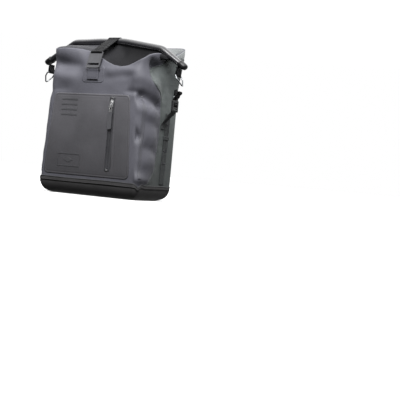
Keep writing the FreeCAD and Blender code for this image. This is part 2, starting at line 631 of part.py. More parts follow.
def neck_panel(name, profile, stations):
    """A panel with one profile of (out, height) points for each (x, top) station, joined up."""
    wires = []
    for x, top in stations:
        corners = [FreeCAD.Vector(x, -out, height) for out, height in about_hinge(profile(top))]
        wires.append(Part.makePolygon(corners + corners[:1]))
    place(solid_part(name, Part.makeLoft(wires, True, True)), "0", "hinge_out", "hinge_up")


def make_neck():
    """The fabric neck between the bag's rim and the roll: front slope, roof and two sides."""
    low, run, gap = size("neck_low"), size("neck_run"), size("neck_gap")
    front, back = size("neck_front_out"), size("neck_top_out")
    fabric, half = size("fabric"), size("neck_width") / 2
    rear, rise = size("hinge_out") + 1.5, size("hinge_up")
    knee, knee_rise = size("neck_knee"), size("knee_rise")
    stations = [(-half, size("neck_left_top")), (size("arch_across"), size("neck_arch_top")),
                (half, size("neck_right_top"))]

    def slope(top):
        return [(front, low), (back, top), (back - run, top), (front - run, low)]

    def roof(top):
        return [(back - run, top - fabric), (back - run, top), (knee, top + knee_rise), (rear, rise + fabric),
                (rear, rise), (knee, top + knee_rise - fabric)]

    def side(top):
        under = top - fabric - gap
        return [(front - run - gap, low), (back + gap, under), (back - run, under),
                (knee, under + knee_rise - gap / 2), (rear + gap, rise - gap), (rear + gap, low)]

    neck_panel("neck_front", slope, stations)
    neck_panel("neck_roof", roof, stations)
    for word, edge, top in (("left", -half, stations[0][1]), ("right", half - fabric, stations[2][1])):
        neck_panel("neck_side_" + word, side, [(edge, top), (edge + fabric, top)])


def roll_points():
    """Corners of the roll's middle line, from the left end to the right, as (x, height)."""
    names = ("left_tip", "left_bend", "arch", "right_bend", "right_tip")
    return [(size(name + "_across"), size(name + "_up")) for name in names]


def level_at(x):
    """Height of the roll's middle line at x, its bends taken as sharp."""
    points = roll_points()
    for (x0, z0), (x1, z1) in zip(points, points[1:]):
        if x <= x1:
            return z0 + (z1 - z0) * (x - x0) / (x1 - x0)
    return points[-1][1]


def make_roll():
    """The rolled mouth with drooping ends, the stay inside it and a cap on each end."""
    points = roll_points()
    bends = [0, size("roll_bend"), size("roll_arch"), size("roll_bend"), 0]
    path = rounded_wire([(x, 0, z) for x, z in points], bends, closed=False)
    ends = {"left": (points[0], points[1]), "right": (points[-1], points[-2])}
    tips = {}
    for word, (tip, inner) in ends.items():
        end = FreeCAD.Vector(tip[0], 0, tip[1])
        tips[word] = (end, (end - FreeCAD.Vector(inner[0], 0, inner[1])).normalize())
    profile = oval(size("roll_deep"), size("roll_tall"), *tips["left"])
    roll = path.makePipeShell([profile], True, True)
    left, right, spare = size("stay_left"), size("stay_right"), size("stay_spare")
    thick, wide = size("stay_thick"), size("stay_wide")
    arch = (size("arch_across"), size("arch_up"))
    stay = ribbon([(left, level_at(left)), arch, (right, level_at(right))], thick, wide)
    ends = [(x, level_at(x)) for x in (left - spare, right + spare)]
    slot = ribbon([ends[0], arch, ends[1]], thick + 2 * spare, wide + 2 * spare)
    pieces = [solid_part("closure_roll", roll.cut(slot)), solid_part("roll_stay", stay)]
    for word, (end, along) in tips.items():
        face = Part.Face(oval(size("cap_deep"), size("cap_tall"), end, along))
        cap = face.extrude(along * size("cap_length"))
        far = end + along * size("cap_length")
        rim = [edge for edge in cap.Edges
               if edge.isClosed() and edge.CenterOfMass.distanceToPoint(far) < 0.5]
        pieces.append(solid_part("roll_end_" + word, cap.makeFillet(size("cap_round"), rim)))
    for piece in pieces:
        place(piece, "0", "roll_out", "0 * roll_out")


def make_centre_strap():
    """Strap sewn to the rear edge, laid over the roll and looped round the hook's bar."""
    out, height = size("roll_out"), level_at(size("strap_across"))
    deep, tall = size("roll_deep") / 2, size("roll_tall") / 2 + 2
    axis = (size("hook_axis_out"), size("hook_axis_up"))
    path = [(size("hinge_out") + 5, size("hinge_up") + 4.4), (out - deep * 0.7, height + tall * 0.93),
            (out, height + tall), (out + deep * 0.75, height + tall * 0.86), (out + deep + 3, height + 3),
            (axis[0] - 18, axis[1] + 16), (axis[0] - 2.2, axis[1] + 2.6)]
    wide = size("strap_width")
    at = about_hinge([axis])[0]
    strap = ribbon(about_hinge(path), size("strap_thick"), wide).fuse(rod(size("loop_outer"), wide, *at))
    strap = strap.removeSplitter().cut(rod(size("loop_bore"), wide + 2, *at))
    place(solid_part("centre_strap", strap), "strap_across", "hinge_out", "hinge_up", turn=OUTWARD)


def make_front_hook():
    """Flat hook buckle that leans back: a round bar in the strap's loop, two slots, a plain edge."""
    wide, tall, thick = size("hook_width"), size("hook_height"), size("hook_thick")
    top = size("hook_bar")
    plate = box(thick, wide, tall, z=top - tall)
    corners = [edge for edge in plate.Edges if edge.BoundBox.XLength > 1]
    plate = plate.makeFillet(size("hook_corner"), corners)
    inner = size("strap_width") + 1
    window = size("loop_outer") + 0.6
    plate = plate.cut(box(2 * thick, inner, window + size("hook_slot"), z=-window))
    plate = plate.cut(box(2 * thick, inner, size("hook_catch"), z=size("hook_catch_up") - tall))
    hook = solid_part("front_hook", plate.fuse(rod(size("hook_bar"), inner + 4)).removeSplitter())
    lean = FreeCAD.Rotation(FreeCAD.Vector(0, 1, 0), -size("hook_tilt"))
    place(hook, "strap_across", "hook_axis_out", "hook_axis_up", turn=OUTWARD.multiply(lean))


def make_side_hooks():
    """Wire hooks hung from the roll's ends on short straps; each leans out by the same tilt."""
    wide, long = size("ring_wide") / 2, size("ring_long")
    tilt = math.radians(size("ring_tilt"))
    corners = []
    for y, down in ((-wide, 0), (wide, 0), (wide, 0.4), (0, 1), (-wide, 0.4)):
        corners.append((long * down * math.sin(tilt), y, -long * down * math.cos(tilt)))
    strap_wide, rise = size("side_strap"), size("end_strap_rise")
    for word, sign in SIDES.items():
        turn = HALF if sign < 0 else None
        hook = solid_part("side_hook_" + word, wire_ring(corners, (4, 4, 6, 6, 6), size("ring_wire")))
        path = [(0.6, 3), (1, rise * 0.7), (1, rise)]
        strap = ribbon(path, size("webbing_thick"), strap_wide).fuse(rod(size("loop_outer"), strap_wide))
        strap = strap.removeSplitter().cut(rod(size("loop_bore"), strap_wide + 2))
        band = solid_part("end_strap_" + word, strap)
        for thing in (hook, band):
            place(thing, "%+d * %s_bar_across" % (sign, word), "roll_out", "end_bar_up", turn=turn)


make_boot()
make_front_panel()
make_front_lean()
make_gussets()
make_seam_tapes()
make_side_strips()
make_back()
make_pocket()
make_zip_slider()
make_marks()
make_patch()
make_side_webbing()
make_adjusters()
make_d_rings()
make_neck()
make_roll()
make_centre_strap()
make_front_hook()
make_side_hooks()
doc.recompute()

# ---------------------------------------------------------------- checks and export

inside = {feature.Name for thing in doc.Objects if thing.TypeId == "PartDesign::Body"
          for feature in thing.Group}
parts = [thing for thing in doc.Objects
         if thing.Name not in inside and thing.TypeId in ("PartDesign::Body", "Part::Feature", "Part::Box")]
for thing in doc.Objects:
    if "Invalid" in thing.State or "Error" in thing.State:
        raise RuntimeError(thing.Name + " failed to recompute")
for thing in parts:
    if thing.Shape.isNull() or not thing.Shape.isValid() or not thing.Shape.Solids:
        raise RuntimeError(thing.Label + " has no valid solid")

os.makedirs("parts", exist_ok=True)
for thing in parts:
    thing.Shape.exportStep(os.path.join("parts", thing.Label + ".step"))
    span = thing.Shape.BoundBox
    print("%-20s %d  x %.1f..%.1f  y %.1f..%.1f  z %.1f..%.1f" % (
        thing.Label, len(thing.Shape.Solids), span.XMin, span.XMax, span.YMin, span.YMax,
        span.ZMin + size("base_drop"), span.ZMax + size("base_drop")))
print(len(parts), "sub-parts")
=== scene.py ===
import math

import bpy
import numpy as np
from mathutils import Matrix, Vector


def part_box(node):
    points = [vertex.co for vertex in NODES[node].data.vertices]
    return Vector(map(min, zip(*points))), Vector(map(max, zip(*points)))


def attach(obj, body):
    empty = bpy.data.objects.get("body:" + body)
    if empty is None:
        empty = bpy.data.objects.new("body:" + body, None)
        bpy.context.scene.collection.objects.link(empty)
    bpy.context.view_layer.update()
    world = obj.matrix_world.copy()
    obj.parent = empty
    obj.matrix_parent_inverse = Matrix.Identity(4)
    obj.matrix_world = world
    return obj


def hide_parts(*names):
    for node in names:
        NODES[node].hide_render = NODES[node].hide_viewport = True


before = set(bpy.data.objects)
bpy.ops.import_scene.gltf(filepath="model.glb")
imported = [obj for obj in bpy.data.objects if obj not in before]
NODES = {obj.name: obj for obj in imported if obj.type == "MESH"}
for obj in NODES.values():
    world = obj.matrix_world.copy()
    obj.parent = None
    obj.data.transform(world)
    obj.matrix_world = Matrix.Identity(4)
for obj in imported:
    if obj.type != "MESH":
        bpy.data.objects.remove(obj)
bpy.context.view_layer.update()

# Shapes are worked out in millimetres: x to the bag's right, y (negative is out, away from the
# vehicle) and h, the height above the boot's bottom. The row frame is in metres.
MM = 0.001
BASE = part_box("bottom_boot")[0].z
ORIGIN = np.array([0, 0, BASE])
SIDES = (("right", 1), ("left", -1))
UP = np.array([0, 0, 1.0])


def measured(name):
    """A CAD node's low corner, high corner and middle in millimetres."""
    low, high = ((np.array(corner) - ORIGIN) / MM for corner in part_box(name))
    return low, high, (low + high) / 2


FRONT = -measured("front_panel")[0][1]            # 205: outer face of the front panel
HALF = measured("front_panel")[1][0]              # 168: half the bag's width
REAR = -measured("rear_panel")[1][1]              # 3: outer face of the rear panel
BACK_TOP = measured("rear_panel")[1][2]
STRAP_X = measured("centre_strap")[2][0]
LOCK_H, LOCK_BAR = 270.0, 3.3                     # ladder locks' bar: height, strap's turn round it
RING_H = 318.0                                    # height of the D-rings' bar
HOOK_OUT, HOOK_H = 197.4, 420.0                   # bar of the front hook


# ------------------------------------------------------------------ helpers

def smooth(low, high, value):
    t = np.clip((np.asarray(value, float) - low) / (high - low), 0, 1)
    return t * t * (3 - 2 * t)


def bump(value, middle, width):
    return np.exp(-((np.asarray(value, float) - middle) / width) ** 2)


def waves(s, h, scale, seed, octaves=3):
    """Smooth seeded noise over two coordinates, about -1 to 1."""
    rng = np.random.default_rng(seed)
    total, weight = np.zeros(np.broadcast(s, h).shape), 0
    for octave in range(octaves):
        for _ in range(5):
            angle, phase = rng.uniform(0, 2 * math.pi, 2)
            wave = rng.uniform(0.7, 1.4) * 2 ** octave / scale * 2 * math.pi
            share = 0.55 ** octave
            total += share * np.sin(wave * (s * math.cos(angle) + h * math.sin(angle)) + phase)
            weight += share * 0.45
    return total / weight


def to_row(points):
    """Millimetre points to the row frame."""
    points = np.asarray(points, float).reshape(-1, 3) * MM
    return points + np.array([0, 0, BASE])


def unit(vectors):
    """The same vectors at length one."""
    return vectors / np.maximum(np.linalg.norm(vectors, axis=-1, keepdims=True), 1e-9)


def distances(points):
    """How far along a line of points each of them lies."""
    return np.concatenate([[0], np.cumsum(np.linalg.norm(np.diff(points, axis=0), axis=1))])


def sample(at, run, values):
    """Values, one row for each distance in run, read at other distances."""
    return np.stack([np.interp(at, run, column) for column in np.transpose(values)], axis=-1)


def softened(points, low, high, count, width):
    """A function that follows straight runs through the points, rounded where they meet."""
    where, level = np.array(points).T
    fine = np.linspace(low, high, count)
    kernel = np.hanning(width)
    padded = np.pad(np.interp(fine, where, level), width // 2, mode="edge")
    soft = np.convolve(padded, kernel / kernel.sum(), mode="valid")
    return lambda value: np.interp(value, fine, soft)


def arc(centre, radii, start, end, count):
    """Pairs of coordinates round a bar, from one angle to another in degrees."""
    angles = np.radians(np.linspace(start, end, count))
    return [(centre[0] + radii[0] * math.cos(a), centre[1] + radii[1] * math.sin(a)) for a in angles]


def linked(name, data):
    made = bpy.data.objects.new(name, data)
    bpy.context.scene.collection.objects.link(made)
    return made


def add_mesh(name, points, faces, material, body, uvs=None):
    """A mesh from millimetre points that rides on a body; uvs are per point."""
    mesh = bpy.data.meshes.new(name)
    mesh.from_pydata([tuple(p) for p in to_row(points)], [], [tuple(int(i) for i in f) for f in faces])
    mesh.validate()
    if uvs is not None:
        layer = mesh.uv_layers.new(name="along")
        index = np.zeros(len(mesh.loops), int)
        mesh.loops.foreach_get("vertex_index", index)
        layer.data.foreach_set("uv", np.asarray(uvs, float).reshape(-1, 2)[index].ravel())
    mesh.polygons.foreach_set("use_smooth", [True] * len(mesh.polygons))
    mesh.update()
    piece = linked(name, mesh)
    mesh.materials.append(material)
    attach(piece, body)
    return piece


def grid_faces(rows, columns, closed=False, flip=False):
    """Quads of a grid stored row by row; closed joins the last column to the first."""
    faces = []
    for r in range(rows - 1):
        for c in range(columns if closed else columns - 1):
            d = (c + 1) % columns
            quad = (r * columns + c, r * columns + d, (r + 1) * columns + d, (r + 1) * columns + c)
            faces.append(quad[::-1] if flip else quad)
    return faces


def capped(rows, columns, flip=False):
    """Faces of a tube of rings with both of its ends filled."""
    faces = grid_faces(rows, columns, closed=True)
    faces += [tuple(range(columns - 1, -1, -1)), tuple(range((rows - 1) * columns, rows * columns))]
    return [face[::-1] for face in faces] if flip else faces


def solidify(piece, thickness):
    """Give an open sheet a wall that grows inwards from it."""
    wall = piece.modifiers.new("wall", "SOLIDIFY")
    wall.thickness, wall.offset = thickness * MM, -1
    wall.use_even_offset = False
    sheet = piece.data
    made = bpy.data.meshes.new_from_object(piece.evaluated_get(bpy.context.evaluated_depsgraph_get()))
    piece.modifiers.clear()
    piece.data = made
    bpy.data.meshes.remove(sheet)


def bevel(part, width):
    """Softened edges on a CAD node, whose own mesh stays as it is."""
    part.modifiers.new("weld", "WELD").merge_threshold = 1e-5
    edge = part.modifiers.new("bevel", "BEVEL")
    edge.width = width * MM
    edge.segments = 2
    edge.limit_method = "ANGLE"
    edge.angle_limit = math.radians(30)


# ------------------------------------------------------------------ materials

def set_inputs(tree, made, inputs):
    """Set a node's inputs; another node's output is linked instead."""
    for key, value in inputs.items():
        if isinstance(value, bpy.types.NodeSocket):
            tree.links.new(value, made.inputs[key])
        else:
            made.inputs[key].default_value = value


def node(tree, kind, inputs=None, **settings):
    made = tree.nodes.new("ShaderNode" + kind)
    for key, value in settings.items():
        setattr(made, key, value)
    set_inputs(tree, made, inputs or {})
    return made


def new_material(name, colour, roughness, metallic=0.0, specular=0.5):
    material = bpy.data.materials.new(name)
    material.use_nodes = True
    tree = material.node_tree
    shader = tree.nodes["Principled BSDF"]
    set_inputs(tree, shader, {"Base Color": (*colour, 1), "Roughness": roughness,
                              "Metallic": metallic, "Specular IOR Level": specular})
    return material, tree, shader


def noise(tree, scale, detail=4, rough=0.55, stretch=(1, 1, 1)):
    place = node(tree, "TexCoord").outputs["Object"]
    scaled = node(tree, "Mapping", {"Vector": place, "Scale": stretch}).outputs["Vector"]
    return node(tree, "TexNoise", {"Vector": scaled, "Scale": scale, "Detail": detail,
                                   "Roughness": rough}).outputs["Fac"]


def ramp(tree, source, low, high, first, second):
    """Two-stop colour ramp on a factor."""
    made = node(tree, "ValToRGB", {"Fac": source})
    for stop, position, colour in zip(made.color_ramp.elements, (low, high), (first, second)):
        stop.position, stop.color = position, (*colour, 1)
    return made.outputs["Color"]


def cloudy(tree, colour, scale, darker, lighter):
    """A tone that drifts between two shades of a colour."""
    return ramp(tree, noise(tree, scale, 3), 0.3, 0.7, shade(colour, darker), shade(colour, lighter))


def spread(tree, source, low, high, start=0.25, end=0.75, **settings):
    """Map values between start and end to values between low and high."""
    return node(tree, "MapRange", {"Value": source, "From Min": start, "From Max": end,
                                   "To Min": low, "To Max": high}, **settings).outputs["Result"]


def combined(tree, operation, first, second):
    return node(tree, "Math", {0: first, 1: second}, operation=operation).outputs["Value"]


def multiplied(tree, first, second):
    """Two colours multiplied."""
    return node(tree, "Mix", {"Factor": 1, "A": first, "B": second},
                data_type="RGBA", blend_type="MULTIPLY").outputs["Result"]


def add_bump(tree, shader, layers):
    """Stack of bumps: (height output, strength, distance in millimetres)."""
    previous = {}
    for height, strength, distance in layers:
        made = node(tree, "Bump", {"Strength": strength, "Distance": distance * MM, "Height": height,
                                   **previous})
        previous = {"Normal": made.outputs["Normal"]}
    set_inputs(tree, shader, previous)


def shade(colour, share):
    return tuple(min(1.0, c * share) for c in colour)


THREAD_PITCH = 0.0016
FOOT_SHADE_LOW, FOOT_SHADE_HIGH = BASE + 0.02, BASE + 0.26            # heights between which the painted shade at the foot fades out


def coated_fabric(name, colour, roughness, weave=1.0, grain=0.25, specular=0.5, foot_shade=0.62, across=1.0):
    """Coated woven fabric: fine weave under a satin skin, cloudy tone, scuffs and painted shade that darkens
    its foot.

    across is how far painted shade darkens the colour on the bag's right side.
    """
    material, tree, shader = new_material(name, colour, roughness, specular=specular)
    place = node(tree, "TexCoord").outputs["Object"]
    split = node(tree, "SeparateXYZ", {"Vector": place})
    fleck = ramp(tree, noise(tree, 900, 2), 0.35, 0.7, (0.88,) * 3, (1.1,) * 3)
    # painted shade: the colour darkens towards the bag's foot
    level = spread(tree, split.outputs["Z"], foot_shade, 1.0, FOOT_SHADE_LOW, FOOT_SHADE_HIGH)
    # painted shade: towards the bag's right side the colour is multiplied down to across
    if across < 1:
        right_shade = spread(tree, split.outputs["X"], 1.0, across, -0.06, 0.05, interpolation_type="SMOOTHSTEP")
        level = combined(tree, "MULTIPLY", level, right_shade)
    scuff = noise(tree, 26, 6, 0.7, (1, 1, 0.35))
    set_inputs(tree, shader, {
        "Base Color": multiplied(tree, multiplied(tree, cloudy(tree, colour, 9, 0.84, 1.16), fleck), level),
        "Roughness": spread(tree, scuff, roughness - 0.07, roughness + 0.09)})
    threads = [node(tree, "TexWave", {"Vector": place, "Scale": 2 / THREAD_PITCH / 6.2832, "Distortion": 0.3},
                    wave_type="BANDS", bands_direction=axis).outputs["Fac"] for axis in "XZ"]
    add_bump(tree, shader, [(noise(tree, 60), 0.35, 0.9), (noise(tree, 420, 3), grain, 0.25),
                            (combined(tree, "MULTIPLY", *threads), 0.25 * weave, 0.08)])
    return material


def webbing_material(name, colour):
    """Woven webbing: ribs across its length and fine yarns, drawn along its own length."""
    material, tree, shader = new_material(name, colour, 0.76, specular=0.18)
    along = node(tree, "UVMap", uv_map="along").outputs["UV"]
    rib = node(tree, "TexWave", {"Vector": along, "Scale": 0.16, "Distortion": 0.6, "Detail Scale": 2},
               bands_direction="X").outputs["Fac"]
    yarn = node(tree, "TexWave", {"Vector": along, "Scale": 0.32, "Distortion": 1.0},
                bands_direction="DIAGONAL").outputs["Fac"]
    fuzz = noise(tree, 1500, 2)
    set_inputs(tree, shader, {
        "Base Color": ramp(tree, yarn, 0.1, 0.9, shade(colour, 0.62), shade(colour, 1.35)),
        "Roughness": spread(tree, fuzz, 0.62, 0.82)})
    add_bump(tree, shader, [(rib, 0.8, 0.35), (yarn, 0.5, 0.18), (fuzz, 0.3, 0.1)])
    return material


def moulded(name, colour, roughness=0.5, grain=0.3, specular=0.5, size=700):
    """Moulded plastic or rubber with a fine spark-eroded grain."""
    material, tree, shader = new_material(name, colour, roughness, specular=specular)
    wear = noise(tree, 40, 5, 0.7)
    set_inputs(tree, shader, {"Base Color": cloudy(tree, colour, 14, 0.86, 1.16),
                              "Roughness": spread(tree, wear, roughness - 0.06, roughness + 0.1)})
    add_bump(tree, shader, [(noise(tree, size, 3), grain, 0.2), (wear, 0.15, 0.3)])
    return material


def metal(name, colour, roughness, brushed=False, coated=False):
    """Polished, brushed or black-coated metal with fine scratches."""
    material, tree, shader = new_material(name, colour, roughness, metallic=0.0 if coated else 1.0)
    scratch = noise(tree, 160 if brushed else 90, 5, 0.7, (1, 1, 22) if brushed else (1, 1, 1))
    set_inputs(tree, shader, {
        "Base Color": cloudy(tree, colour, 30, 0.85, 1.08),
        "Roughness": spread(tree, scratch, max(0.05, roughness - 0.07), roughness + 0.12)})
    add_bump(tree, shader, [(scratch, 0.25 if brushed else 0.12, 0.08)])
    return material


SHELL = coated_fabric("shell_fabric", (0.122, 0.122, 0.144), 0.58, specular=0.35)
POCKET = coated_fabric("pocket_fabric", (0.104, 0.102, 0.112), 0.58, grain=0.3, specular=0.35, foot_shade=0.4)
PANEL = coated_fabric("side_panel_fabric", (0.122, 0.137, 0.135), 0.55, grain=0.35, specular=0.4, foot_shade=0.35)
# the neck's dark colour is painted shade under the roll; across adds more painted shade on its right side
SHADED_NECK = coated_fabric("neck_fabric_painted_shade", (0.040, 0.040, 0.045), 0.65, specular=0.15, across=0.28)
# pale copy of the shell fabric: painted sheen where the rear of the neck catches the light at a grazing angle
WING_SHEEN = coated_fabric("neck_rear_painted_sheen", (0.52, 0.545, 0.545), 0.65, specular=0.2)
# lighter copy of the shell fabric: painted sheen on the rear of the neck
HOOD_SHEEN = coated_fabric("neck_hood_painted_sheen", (0.17, 0.18, 0.18), 0.65, specular=0.2)
ROLL = coated_fabric("roll_fabric", (0.018, 0.018, 0.021), 0.28, specular=1.0)
BOOT = moulded("boot_skin", (0.040, 0.039, 0.040), 0.6, grain=0.45, specular=0.4)
PIPING = moulded("boot_piping", (0.040, 0.040, 0.043), 0.5, grain=0.2)
TAPE = coated_fabric("seam_tape_skin", (0.105, 0.105, 0.122), 0.42, weave=0.4)
MARK = coated_fabric("raised_marks", (0.085, 0.085, 0.092), 0.45, weave=0.3)
WEBBING = webbing_material("webbing", (0.006, 0.006, 0.007))
SIDE_WEB = webbing_material("side_webbing", (0.050, 0.054, 0.055))
THREAD = moulded("thread", (0.035, 0.035, 0.04), 0.7, grain=0.6, size=2500)
BUCKLE = metal("buckle_grey", (0.085, 0.085, 0.092), 0.34, coated=True)
LOCK = moulded("ladder_lock_black", (0.012, 0.012, 0.013), 0.38, grain=0.25)
CHROME = metal("bright_metal", (0.93, 0.93, 0.94), 0.36)
RING = metal("ring_metal", (0.30, 0.31, 0.32), 0.24)
PLATE = metal("plate_metal", (0.50, 0.51, 0.52), 0.36, brushed=True)
ZIP = moulded("zip_skin", (0.042, 0.042, 0.047), 0.28, grain=0.06, specular=1.0)
RUBBER = moulded("tab_rubber", (0.085, 0.085, 0.093), 0.34, grain=0.1, specular=1.0)
STIFF = moulded("stiffener", (0.06, 0.06, 0.06), 0.6, grain=0.4)
# ------------------------------------------------------------------ the skin of the bag
# The skin is a grid over s, the distance round the bag from the middle of the front (positive
# towards the right side), and h. Panels, tapes and stitches are laid on it at a lift.

CORNER, REAR_CORNER = 30.0, 10.0
FLAT = HALF - CORNER                                      # s where the front corner starts
SIDE = FLAT + CORNER * math.pi / 2                        # s where the side starts
SIDE_END = SIDE + (FRONT - CORNER) - (REAR + REAR_CORNER)
REAR_START = SIDE_END + REAR_CORNER * math.pi / 2
HALFWAY = REAR_START + HALF - REAR_CORNER                 # s at the middle of the rear
LOW = 30.0                                                # the skin starts inside the boot
GUSSET = 262.0                                            # s of the seam between gusset and rear strip

CREST = [(-HALFWAY, BACK_TOP + 1), (-365, BACK_TOP + 1), (-350, 461), (-300, 444), (-255, 431),
         (-215, 424), (-185, 425), (-160, 428), (-138, 429), (-100, 431), (-64, 430), (-30, 422),
         (0, 407), (30, 392), (60, 381), (89, 377), (110, 380), (130, 388), (150, 397), (168, 406),
         (185, 417), (204, 424), (225, 428), (247, 430), (267, 429), (285, 426), (305, 436),
         (350, 461), (365, BACK_TOP + 1), (HALFWAY, BACK_TOP + 1)]
crest = softened(CREST, -HALFWAY, HALFWAY, 1043, 15)      # height of the skin's top edge


def outline(s, h, inset=0.0):
    """Plan position and outward direction of the unwrinkled skin, or of a loop inset from it."""
    a = np.abs(s)
    sign = np.where(s < 0, -1.0, 1.0)
    radius = np.maximum(15 + 15 * smooth(40, 330, h) - inset, 3.0)
    rear_radius = np.maximum(REAR_CORNER - inset, 3.0)
    front, rear = FRONT - inset, REAR + inset
    front_half = 170.5 - 3 * smooth(0, 180, h) - 9 * smooth(230, 425, h)
    front_half = front_half + np.where(s < 0, 4.0, 0.0)
    rear_half = HALF + 9 * smooth(320, 415, h) + 5 * smooth(400, 450, h)
    corner = np.clip((a - FLAT) / (SIDE - FLAT), 0, 1) * math.pi / 2
    down = np.clip((a - SIDE) / (SIDE_END - SIDE), 0, 1)
    half = front_half + (rear_half - front_half) * smooth(0, 1, down) - inset
    rear_turn = np.clip((a - SIDE_END) / (REAR_START - SIDE_END), 0, 1) * math.pi / 2
    across_rear = np.clip((a - REAR_START) / (HALFWAY - REAR_START), 0, 1)
    x = np.where(a < FLAT, a / FLAT * (half - radius),
                 np.where(a < SIDE, half - radius + radius * np.sin(corner), half))
    y = np.where(a < FLAT, -front,
                 np.where(a < SIDE, -front + radius - radius * np.cos(corner),
                          -(front - radius) + down * ((front - radius) - (rear + rear_radius))))
    x = np.where(a > SIDE_END, half - rear_radius + rear_radius * np.cos(rear_turn), x)
    y = np.where(a > SIDE_END, -(rear + rear_radius) + rear_radius * np.sin(rear_turn), y)
    x = np.where(a > REAR_START, (half - rear_radius) * (1 - across_rear), x)
    y = np.where(a > REAR_START, -rear, y)
    turn = np.where(a < SIDE_END, corner, math.pi / 2 + rear_turn)
    nx = np.sin(turn) * sign
    ny = -np.cos(turn)
    return x * sign, y, nx, ny


def fold(s, h, start, end, width, depth):
    """A straight soft fold between two (s, h) points; a negative depth is a valley."""
    sx, sh = start
    ex, eh = end
    length = math.hypot(ex - sx, eh - sh)
    t = ((s - sx) * (ex - sx) + (h - sh) * (eh - sh)) / length ** 2
    across = ((s - sx) * (eh - sh) - (h - sh) * (ex - sx)) / length
    past = np.maximum(np.maximum(-t, t - 1), 0) * length
    return depth * np.exp(-(across / width) ** 2 - (past / (width * 1.3)) ** 2)


SHARED_FOLDS = [
    # the gusset's undulations
    ((196, 224), (232, 216), 15, -2.5), ((192, 188), (236, 180), 16, 1.8),
    ((196, 150), (236, 142), 15, -4.0), ((190, 112), (236, 106), 18, 1.8),
    ((178, 66), (214, 76), 14, 1.5),
]
RIGHT_FOLDS = [
    # pinch that crosses the upper corner, with the bulge above it
    ((124, 303), (176, 296), 12, -5.5), ((164, 297), (246, 275), 16, -13.5),
    ((150, 352), (200, 340), 20, 6.0), ((150, 262), (196, 250), 15, 3.0),
    ((118, 206), (152, 184), 14, -12.0), ((160, 170), (160, 120), 12, 1.5), ((160, 60), (208, 57), 16, 6.0),
    # the slack below the dip in the mouth
    ((52, 366), (132, 370), 14, 4.0), ((20, 342), (140, 356), 11, -1.6), ((116, 330), (146, 390), 10, -2.5),
]
LEFT_FOLDS = [
    ((-110, 306), (-160, 300), 13, -2.0), ((-190, 300), (-250, 286), 14, -4.0),
    ((-146, 240), (-150, 196), 13, -2.0),
    # creases below the left ear
    ((-138, 384), (-70, 376), 17, -10.0), ((-140, 350), (-90, 340), 18, 4.0),
]


def relief(s, h):
    """How far the skin stands out from its outline."""
    a = np.abs(s)
    belly = np.sin(np.pi * np.clip((a - 172) / (GUSSET - 172), 0, 1)) ** 1.2
    out = 10.5 * belly * smooth(38, 120, h) * (1 - 0.45 * smooth(300, 400, h))
    out += 2.0 * bump(a, 305, 45) * smooth(60, 200, h)
    # gusset tucked in behind the ear of the front corner
    out -= 7 * bump(a, 200, 9) * smooth(330, 375, h) * (1 - smooth(400, 418, h))
    out -= 21 * bump(a, 222, 25) * bump(h, 390, np.where(h > 390, 14, 36))
    out += 9.0 * smooth(383, 424, h) * (1 - smooth(-80, -45, s)) * smooth(-172, -140, s)
    out -= 3.0 * (1 - smooth(130, 165, a)) * smooth(312, 400, h)
    lean = (1 - smooth(112, 146, s)) * smooth(-125, -60, s)
    out -= 15.0 * lean * np.clip((h - 372) / 50, 0, 1.2) ** 1.15
    out += 2.2 * (1 - smooth(135, 160, a)) * bump(h, 345, 28)
    seam = 1 - 0.8 * smooth(232, 258, a)
    for group in (SHARED_FOLDS, RIGHT_FOLDS, LEFT_FOLDS):
        for start, end, width, depth in group:
            out += seam * fold(s, h, start, end, width, depth)
    for (sx, sh), (ex, eh), width, depth in SHARED_FOLDS:
        out += seam * fold(s, h, (-sx, sh + 6), (-ex, eh + 4), width, depth)
    out += 0.9 * bump(a, GUSSET, 60) * waves(s, h, 46, 3) * smooth(60, 110, h)
    out += 0.5 * (1 - smooth(330, 350, a)) * waves(s, h, 70, 5, 2) * smooth(280, 330, h)
    rear = smooth(335, 350, a)
    pocket = (1 - smooth(140, 150, a)) * (1 - smooth(296, 312, h))
    low = 1 - smooth(34, 60, h)
    return out * (1 - rear) * (1 - pocket) * (1 - low)


def make_columns():
    """Values of s down the skin's columns, closer together where it turns or creases."""
    ends = (0, FLAT, SIDE, SIDE_END, REAR_START, HALFWAY)
    runs = [np.linspace(a, b, count)[:-1] for a, b, count in zip(ends, ends[1:], (35, 14, 43, 6, 15))]
    right = np.concatenate(runs + [[HALFWAY]])
    return np.concatenate([-right[:0:-1], right])[:-1]


COLUMNS = make_columns()
ROWS = np.linspace(0, 1, 106)


def build_skin():
    s, k = np.meshgrid(COLUMNS, ROWS)
    h = LOW + (crest(s) - LOW) * k
    x, y, nx, ny = outline(s, h)
    out = relief(s, h)
    return np.stack([x + nx * out, y + ny * out, h], axis=2)


SKIN = build_skin()


def skin_normals(grid):
    """Outward normals of a grid closed across its columns."""
    across = np.roll(grid, -1, axis=1) - np.roll(grid, 1, axis=1)
    return unit(np.cross(across, np.gradient(grid, axis=0)))


NORMALS = skin_normals(SKIN)
MOUTH = SKIN[-1]
OUTWARD = unit(NORMALS[-1] * (1, 1, 0))                   # level directions out of the mouth's edge


